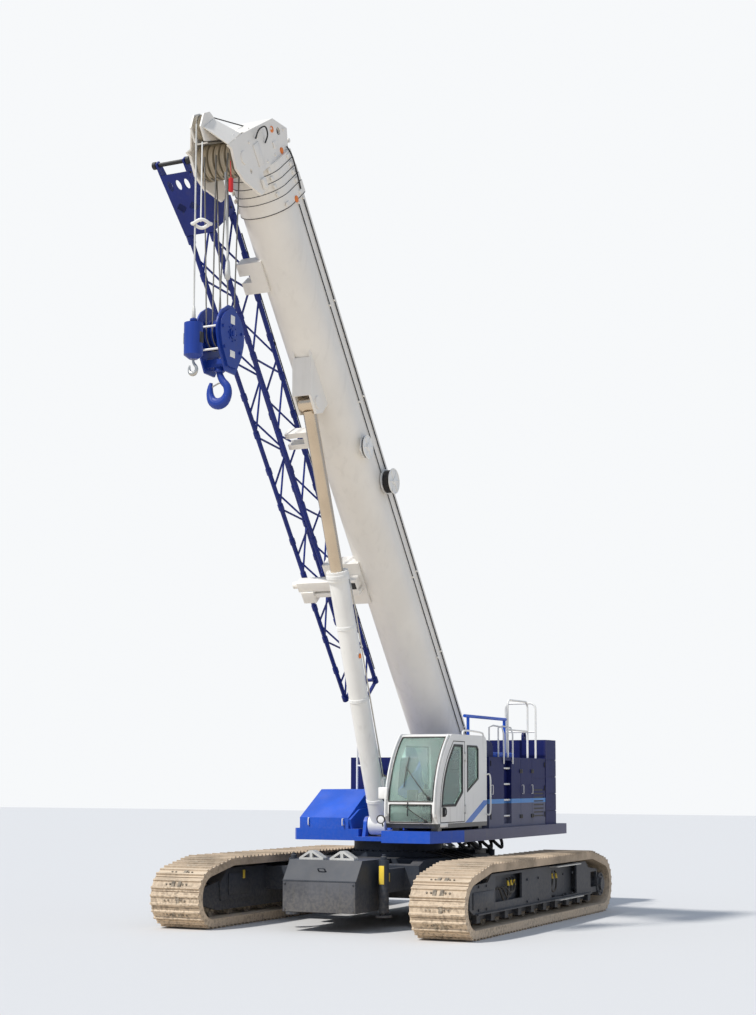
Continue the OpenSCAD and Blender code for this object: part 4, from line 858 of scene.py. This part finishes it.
# %% Cables, clips and hose reels along the boom
SKIN = 0.4203
REELS = ((7.16, -0.17, 0.165, 0.19, 0.09), (6.28, 0.19, 0.188, 0.215, 0.19))
make("boom_cables", "boom", rubber, [
    tube(on_boom([(a, y, b) for a in (0.62, 4.0, 8.0, 11.38)]), r, 8)
    for y, b, r in ((0.434, 0.365, 0.01), (0.432, 0.165, 0.008))])
clips = [pillow((a, 0.4205, b - 0.022), (a + 0.035, 0.45, b + 0.022), 0.006, on_boom)
         for a in np.arange(0.8, 11.4, 1.76) for b in (0.365, 0.165)]
clips += [tube(on_boom([(a, -0.15, 0.54), (a, 0.15, 0.54)]), 0.03, 12) for a in (2.43, 5.63, 8.73)]
clips += [pillow((a, -0.1, 0.459), (a + 0.28, 0.1, 0.478), 0.006, on_boom) for a in (3.2, 6.0, 9.6)]
clips += [pillow((a, -0.415, 0.456), (a + 0.05, -0.375, 0.475), 0.004, on_boom)
          for a in np.arange(0.5, 11.3, 1.35)]
make("boom_clips", "boom", cream, clips)
make("boom_marker", "boom", orange, [
    turned([(0, 0.055), (0.012, 0.052), (0.018, 0.03)], on_boom((11.46, 0.445, 0.1)), LEFTWARD, 20)])
make("reel_hose", "boom", rubber, [
    hoop((a, b), wound, 0.0095, y, 28, place=on_boom)
    for a, b, wound, _, w in REELS for y in np.arange(0.478, SKIN + w - 0.012, 0.016)])
spokes = []
for a, b, _, r, w in REELS:
    y = SKIN + w
    inner, outer = (arc((a, b), q, n=6, third=y + 0.004) for q in (0.05, r - 0.01))
    spokes += [tube(on_boom(ends), 0.01, 6) for ends in zip(inner, outer)]
    spokes += [cap(on_boom((a, y, b)), LEFTWARD, 0.06, 0.02, 0.03, 0.035, 20),
               hoop((a, b), r, 0.009, y, 32, place=on_boom)]
make("reel_spokes", "boom", white, spokes)

# %% Rope along the boom's top, one length for each section
for k, body in enumerate(["boom", "tele_2", "tele_3", "tele_4", "tele_5"]):
    end = BASE_END + COLLAR * k + (0.0 if k < 4 else 0.02)
    start = end - 6.9 if k else 0.35
    make("top_rope_%d" % (k + 1), body, rope, [
        tube(on_boom([(start, y, 0.578), (end, y, 0.578)]), 0.011 - 0.0004 * k, 8) for y in (-0.06, 0.06)])

# %% [markdown]
# The boom's head is a frame of plates round the sheaves. A roller lies on its top, rope lies in the
# grooves of the sheaves, and a thin pendant ties the horn to the top.

# %% Boom head
HEAD = 12.1603
SHEAVE = (HEAD + 0.39, -1.0)
AUX = (SHEAVE[0] + 0.6, -1.24)
on_head = boom_from(HEAD)
head = []
for s in (-1, 1):
    head += [cap(on_head((a, s * 0.371, b)), (0, s, 0), 0.02, 0.014, 0.02, 0.012) for a, b in (
        (0.07, -0.3), (0.07, 0.0), (0.07, 0.3), (0.3, 0.5), (0.45, 0.1), (0.5, -0.4), (0.52, -0.7))]
    head += [pillow((0.1, s * 0.371, -0.62), (0.44, s * 0.385, -0.42), 0.006, on_head),
             pillow((0.16, s * 0.371, 0.02), (0.26, s * 0.385, 0.12), 0.006, on_head)]
head += [pillow((0.01, y - 0.03, 0.48), (0.13, y + 0.03, 0.7), 0.012, on_head) for y in (-0.3, 0.22)]
head += [tube(on_head([(a, -w, b), (a, w, b)]), r, sides) for a, w, b, r, sides in (
    (0.07, 0.34, 0.66, 0.035, 14), (0.64, 0.3, -0.45, 0.03, 12), (0.72, 0.3, -0.95, 0.03, 12))]
head.append(pillow((-0.22, 0.372, -0.72), (-0.06, 0.42, -0.6), 0.012, on_head))
make("head_fittings", "tele_5", cream, head)
falls = [tube(on_boom(arc(SHEAVE, 0.262, 40, 230, 19, third=(k - 2.5) * 0.1)), 0.011, 8) for k in range(6)]
falls.append(tube(on_boom(arc(AUX, 0.182, -50, 140, 17, third=0)), 0.011, 8))
make("sheave_rope", "tele_5", rope, falls)
make("head_cables", "tele_5", rubber, [
    tube(on_head([(1.11, 0.0, -1.04), (0.28, 0.0, 0.6)]), 0.01, 8),
    hose(on_head([(0.5, 0.39, -0.5), (0.6, 0.44, -0.4), (0.58, 0.46, -0.22), (0.44, 0.43, -0.16),
                  (0.34, 0.39, -0.24)]), 0.012),
    hose(on_head([(0.05, 0.39, 0.42), (-0.1, 0.46, 0.36), (-0.4, 0.47, 0.33), (-0.62, 0.455, 0.33)]), 0.012)])
make("head_markers", "tele_5", orange, [
    turned([(0, 0.05), (0.012, 0.047), (0.018, 0.028)], on_boom((a, 0.371, b)), LEFTWARD, 20)
    for a, b in ((12.59, 0.13), (12.21, 0.24))])
make("head_lamps", "tele_5", red, [
    pillow((0.12, y - 0.05, 0.54), (0.2, y + 0.05, 0.67), 0.02, on_head) for y in (-0.24, 0.1)])

# %% [markdown]
# The auxiliary sheave sits in a single horn, narrow at its tip and as wide as the head at its root.
# The solid head's outer plates run on beside it, so their ends are cut back with two boxes, and
# slanted sheets close the horn's sides and top.

# %% The horn
def trimmed(piece, boxes):
    """Cuts boxes off a solid with a node modifier. Each box is its two corners along the boom."""
    g = bpy.data.node_groups.new("cut back", "GeometryNodeTree")
    for way in ("INPUT", "OUTPUT"):
        g.interface.new_socket("Geometry", in_out=way, socket_type="NodeSocketGeometry")
    start, end = g.nodes.new("NodeGroupInput"), g.nodes.new("NodeGroupOutput")
    cut = g.nodes.new("GeometryNodeMeshBoolean")
    cut.operation = "DIFFERENCE"
    g.links.new(start.outputs[0], cut.inputs["Mesh 1"])
    home = piece.matrix_world.inverted()
    for low, high in np.asarray(boxes):
        box = g.nodes.new("GeometryNodeMeshCube")
        box.inputs["Size"].default_value = high - low
        put = g.nodes.new("GeometryNodeTransform")
        put.inputs["Translation"].default_value = home @ Vector(on_boom((low + high) / 2))
        put.inputs["Rotation"].default_value = (0, -BOOM_ANGLE, 0)
        g.links.new(box.outputs["Mesh"], put.inputs["Geometry"])
        g.links.new(put.outputs["Geometry"], cut.inputs["Mesh 2"])
    g.links.new(cut.outputs["Mesh"], end.inputs[0])
    piece.modifiers.new("cut back", "NODES").node_group = g


trimmed(nodes["boom_head"], [((HEAD + 0.7, s * 0.3 - 0.195, -2.0), (HEAD + 1.4, s * 0.3 + 0.195, -0.7))
                             for s in (-1, 1)])
ROOT, TIP_END, ROOT_HALF, TIP_HALF = HEAD + 0.665, AUX[0] + 0.05, 0.345, 0.115
SLANT = (ROOT_HALF - TIP_HALF) / (TIP_END - ROOT)


def slanted(points):
    """Leans a plate that was made square, so that it nears the middle towards the horn's tip."""
    p = np.array(points)
    p[:, 1] += ROOT_HALF - (p[:, 0] - ROOT) * SLANT
    return on_boom(p)


horn = both_sides(plate([(ROOT, -0.78), (TIP_END, -1.06), (TIP_END, -1.4), (ROOT + 0.02, -1.24)], -0.022, 0.0,
                        place=slanted))
corners = [(a, s * y, b + up) for up in (0.0, 0.018)
           for a, y, b in ((ROOT, ROOT_HALF, -0.78), (TIP_END, TIP_HALF, -1.06)) for s in (-1, 1)]
sides = [[0, 1, 3, 2], [4, 6, 7, 5], [0, 4, 5, 1], [2, 3, 7, 6], [0, 2, 6, 4], [1, 5, 7, 3]]
horn.append((on_boom(corners), sides))
make("horn_sides", "tele_5", cream, horn)

# %% [markdown]
# The lift cylinder has bands, a clamp, a ring of bolts and thin pipes along its barrel. They all keep
# to the barrel, so they ride on it.

# %% Lift cylinder fittings
ROD_WAY = on_lift((1, 0, 0)) - FOOT
lift = [hoop((0, 0), r, 0.012, s + 0.015 * k, 40, 0, on_lift)
        for s, r in ((0.45, 0.164), (2.3, 0.164), (3.6, 0.164), (4.5, 0.186)) for k in range(4)]
lift += [cap(on_lift(p), ROD_WAY, 0.014, 0.01, 0.014, 0.008, 6)
         for p in arc((0, 0), 0.165, n=12, third=4.6, axis=0)]
lift += [pillow((0.62, 0.12, -0.02), (0.86, 0.215, 0.1), 0.015, on_lift),
         pillow((4.2, -0.1, 0.16), (4.42, 0.1, 0.235), 0.015, on_lift)]
make("lift_bands", "barrel", white, lift)
make("lift_pipes", "barrel", steel, [
    hose(on_lift([(0.8, y, z - 0.02), (1.0, y + 0.005, z), (2.4, y + 0.005, z), (4.1, y + 0.005, z),
                  (4.42, y - 0.04, z + 0.05)]), 0.012) for y, z in ((0.165, 0.085), (0.15, 0.12))])
make("lift_marker", "barrel", orange, [
    turned([(0, 0.045), (0.01, 0.042), (0.015, 0.025)], on_lift((3.1, 0.167, -0.02)), LEFTWARD, 16)])

# %% [markdown]
# The main hook block has plain light plates on its cheeks, rope guards between them, and a ring of
# bolts round each axle. The hook carries a spring latch across its throat.

# %% Hook fittings
HOOK, BALL = np.array([6.4388, 0.0, 9.0033]), np.array([7.1844, 0.0, 9.0246])
GUARDS = ((0.3, 0.06), (-0.3, 0.06), (0.25, -0.27), (-0.25, -0.27))
block, blank = [], []
for s in (-1, 1):
    out = (0, s, 0)
    blank += [pillow(HOOK + (-w, s * 0.2155, low), HOOK + (w, s * 0.221, high), 0.0025)
              for w, low, high in ((0.06, 0.14, 0.27), (0.07, -0.36, -0.26))]
    block += [cap(p, out, 0.013, 0.01, 0.014, 0.008, 6) for p in arc(HOOK[::2], 0.115, n=8, third=s * 0.215)]
    block.append(cap(HOOK + (0, s * 0.232, 0), out, 0.045, 0.014, 0.02, 0.03, 20))
    block += [cap(HOOK + (x * 0.9, s * 0.2145, z * 0.9), out, 0.026, 0.016, 0.022, 0.015, 6) for x, z in GUARDS]
block.append(turned([(0, 0.075), (0.05, 0.082), (0.07, 0.06)], HOOK + (0, 0, -0.5), DOWN, 20))
make("block_bolts", "main_hook", hook_blue, block)
make("block_plates", "main_hook", white, blank)
make("rope_guards", "main_hook", white, [
    tube([HOOK + (x, -0.158, z), HOOK + (x, 0.158, z)], 0.0165) for x, z in GUARDS])
make("block_rope", "main_hook", rope, [
    tube(arc(HOOK[::2], 0.222, 180, 360, 21, third=k * 0.1), 0.011, 8) for k in (-1, 0, 1)])
make("hook_latch", "main_hook", steel, [
    hose(HOOK - (0, 0, 0.83) + [(0, 0.055, 0.1), (0, 0.0, 0.105), (0, -0.08, 0.075), (0, -0.13, 0.05)], 0.012)])
make("ball_neck", "small_hook", hook_blue, [
    turned([(0, 0.043), (0.006, 0.056), (0.03, 0.056), (0.036, 0.043)], BALL + (0, 0, 0.002), UP)])
# Black patches on the ball's sides stand for its slots: their dark inside is painted shade.
make("ball_slot_shade", "small_hook", black, both_sides(
    pillow(BALL + (-0.045, 0.12, -0.33), BALL + (0.045, 0.144, -0.17), 0.006)))
make("ball_rope", "small_hook", bright_rope, [
    tube([BALL + (0, 0, 0.03), (BALL[0], 0.0, 11.974)], 0.0135),
    turned([(0, 0.02), (0.02, 0.03), (0.14, 0.024), (0.2, 0.012)], BALL + (0, 0, 0.04), UP, 16)])
make("rope_socket", "main_hook", bright_rope, [
    tube([(6.64, 0.18, 11.4), (6.64, 0.235, 10.02)], 0.017),
    turned([(0, 0.02), (0.03, 0.03), (0.2, 0.044), (0.26, 0.044), (0.3, 0.024)], (6.64, 0.235, 10.06),
           DOWN, 16)])

# %% [markdown]
# A two-hook machine carries a switch weight on a thin line beside each rope, which stops the winch
# when the block comes up. One shows as a red weight, the other one as a white ring.

# %% Switch weights and lines below the head
make("switch_weight", "main_hook", red, [
    tube([(6.78, 0.345, 11.5), (6.785, 0.36, 11.22)], 0.006, 6),
    turned([(0, 0.024), (0.01, 0.036), (0.2, 0.036), (0.21, 0.024)], (6.785, 0.36, 11.235), DOWN, 16)])
turn = np.arange(24) * np.pi / 12
loop = np.stack([7.1 + 0.13 * np.cos(turn), 0.06 + 0.14 * np.sin(turn), 10.49 + 0.02 * np.sin(3 * turn)], 1)
make("switch_ring", "small_hook", white, [
    tube(loop, 0.026, 8, close=True), tube([(7.15, 0.075, 10.5), (7.15, 0.082, 11.7)], 0.011, 8)])

# %% [markdown]
# The stowed jib is held by pins through the brackets. Its chords have a collar at every joint and
# at their ends, and a thin cable runs along its side.

# %% Jib fittings
TIP, FOOT_END = np.array([1.9, -1.3, -0.2]), np.array([11.45, -0.86, -0.81])
CHORDS = [(side, up) for side in (-1, 1) for up in (0, 1)]


def on_jib(t, side, up):
    """A point on one of the jib's chords: t from its tip to its foot, side and up choose it."""
    depth = 0.56 + t * 0.2
    return on_boom(TIP + t * (FOOT_END - TIP) + np.array([0, side * 0.21, up * depth]))


jib = [tube([on_jib(t - 0.006, *chord), on_jib(t + 0.006, *chord)], 0.052)
       for t in np.arange(1, 13) / 13 for chord in CHORDS]
jib += [tube([on_jib(start, *chord), on_jib(end, *chord)], r)
        for chord in CHORDS for start, end, r in ((0.985, 1.0, 0.062), (0.0, 0.012, 0.058))]
make("jib_collars", "boom", jib_shade_blue, jib)
cable = [tube([on_jib(t, 1, 1) + (0, 0.05, 0.03) for t in (0.03, 0.96)], 0.01, 8)]
cable += [turned([(0, 0.016), (0.03, 0.018), (0.06, 0.016)], on_jib(t, 1, 1) + (0, 0.046, 0.026),
                 on_jib(0.6, 1, 1) - on_jib(0.5, 1, 1), 10) for t in (0.15, 0.35, 0.55, 0.75, 0.92)]
make("jib_cable", "boom", rubber, cable)

# %% [markdown]
# The jib's foot is welded from sheets and open on the side towards the boom's top. The sheet that
# faces down is pierced by three ovals and two wider openings, and a roller lies across its end.
# Each opening sits in its own rectangle: the loop round the opening and the loop round the
# rectangle are walked by the same angles, so the sheet is one closed band of four sides.

# %% The jib's foot
JIB, LOW, HIGH = 11.4624, -0.87, 0.01
Y0, Y1, SIDE, SHEET = -1.112, -0.608, 0.03, 0.024


def pierced(low, high, middle, radii, place, power=2.0):
    """A rectangle with a rounded opening. The opening's edge is the radii times a direction, and
    power 2 gives an oval; the rectangle's edge is met along the same direction."""
    low, high, middle = (np.asarray(q, float) for q in (low, high, middle))
    corners = [math.atan2(y - middle[1], x - middle[0]) for x in (low[0], high[0]) for y in (low[1], high[1])]
    k = np.sort(np.concatenate([np.linspace(-np.pi, np.pi, 33)[:-1], corners]))
    d = np.stack([np.cos(k), np.sin(k)], 1)
    reach = np.where(d > 0, high - middle, middle - low) / np.maximum(np.abs(d), 1e-9)
    outer = middle + d * reach.min(1)[:, None]
    inner = middle + d / (np.abs(d / radii) ** power).sum(1)[:, None] ** (1 / power)
    loops = [np.insert(q, 2, h, 1) for q, h in ((outer, 0), (inner, 0), (inner, SHEET), (outer, SHEET))]
    return place(np.vstack(loops)), grid_faces(4, len(k), True, True)


def under(points):
    """From (along, across, thickness) on the lower sheet to the crane's own axes."""
    return on_boom(along(points, (JIB, 0, LOW), math.atan2(-0.15, 1.08)))


on_foot = boom_from(JIB)
outline = [(0, LOW), (0, HIGH), (0.26, HIGH), (0.62, LOW + 0.12), (1.12, LOW - 0.01), (1.24, LOW - 0.06),
           (1.23, LOW - 0.16), (1.08, LOW - 0.15)]
near, far = Y0 + SIDE, Y1 - SIDE
foot = [plate(outline, y, y + SIDE, place=on_foot) for y in (Y0, far)]
foot.append(plate([(0, LOW), (0, HIGH), (SHEET, HIGH), (SHEET, LOW)], near, far, place=on_foot))
for count, low, high, middle, radii, power in ((3, 0.72, 0.98, 0.85, (0.088, 0.045), 2.0),
                                               (2, 0.3, 0.62, 0.47, (0.085, 0.085), 1.2)):
    wide = (far - near) / count
    for y in near + np.arange(count) * wide:
        foot.append(pierced((low, y), (high, y + wide), (middle, y + wide / 2), radii, under, power))
foot += [plate([(low, near), (high, near), (high, far), (low, far)], 0.0, SHEET, 2, under)
         for low, high in ((0.0, 0.3), (0.62, 0.72), (0.98, 1.04))]
sheets = make("jib_foot_sheets", "boom", jib_shade_blue, foot)
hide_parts("jib_head")
bar = [tube(on_foot([(1.19, y, LOW - 0.1) for y in (Y0 - 0.04, Y1 + 0.04)]), 0.032, 16)]
bar += [turned([(0, 0.045), (0.01, 0.058), (0.06, 0.058), (0.07, 0.045)], on_foot((1.19, y, LOW - 0.1)),
               LEFTWARD, 20) for y in (Y0 - 0.08, Y1 + 0.01)]
bar += [cap(on_foot((a, y, b)), (0, s, 0), 0.018, 0.012, 0.018, 0.01) for y, s in ((Y0, -1), (Y1, 1))
        for a, b in ((0.1, -0.7), (0.1, -0.1), (0.34, -0.45), (0.6, -0.84), (1.0, -0.95))]
make("jib_foot_roller", "boom", black, bar)

# %% [markdown]
# The jib rests on a beam that reaches across under it from the boom's side. The beam ends in a short
# bar, has a foot on its lower side and a square socket near the boom, where the jib's tool is held.

# %% The beam under the jib
ARM, on_rest = -1.42, boom_from(4.65)
beam = [pillow(low, high, 0.01, on_rest) for low, high in (
    ((0.0, ARM, -0.67), (0.19, -0.25, -0.479)), ((-0.13, ARM + 0.24, -0.665), (-0.045, -0.25, -0.479)),
    ((-0.22, ARM + 0.05, -0.7), (0.01, ARM + 0.3, -0.5)), ((-0.1, -0.52, -0.682), (0.2, -0.24, -0.66)))]
beam.append(tube(on_rest([(0.1, ARM - 0.1, -0.575), (0.1, ARM + 0.03, -0.575)]), 0.065, 20))
make("jib_rest", "boom", cream, beam)
make("jib_rest_socket", "boom", black, [
    pillow((0.02, -0.37, -0.686), (0.15, -0.26, -0.68), 0.002, on_rest)])
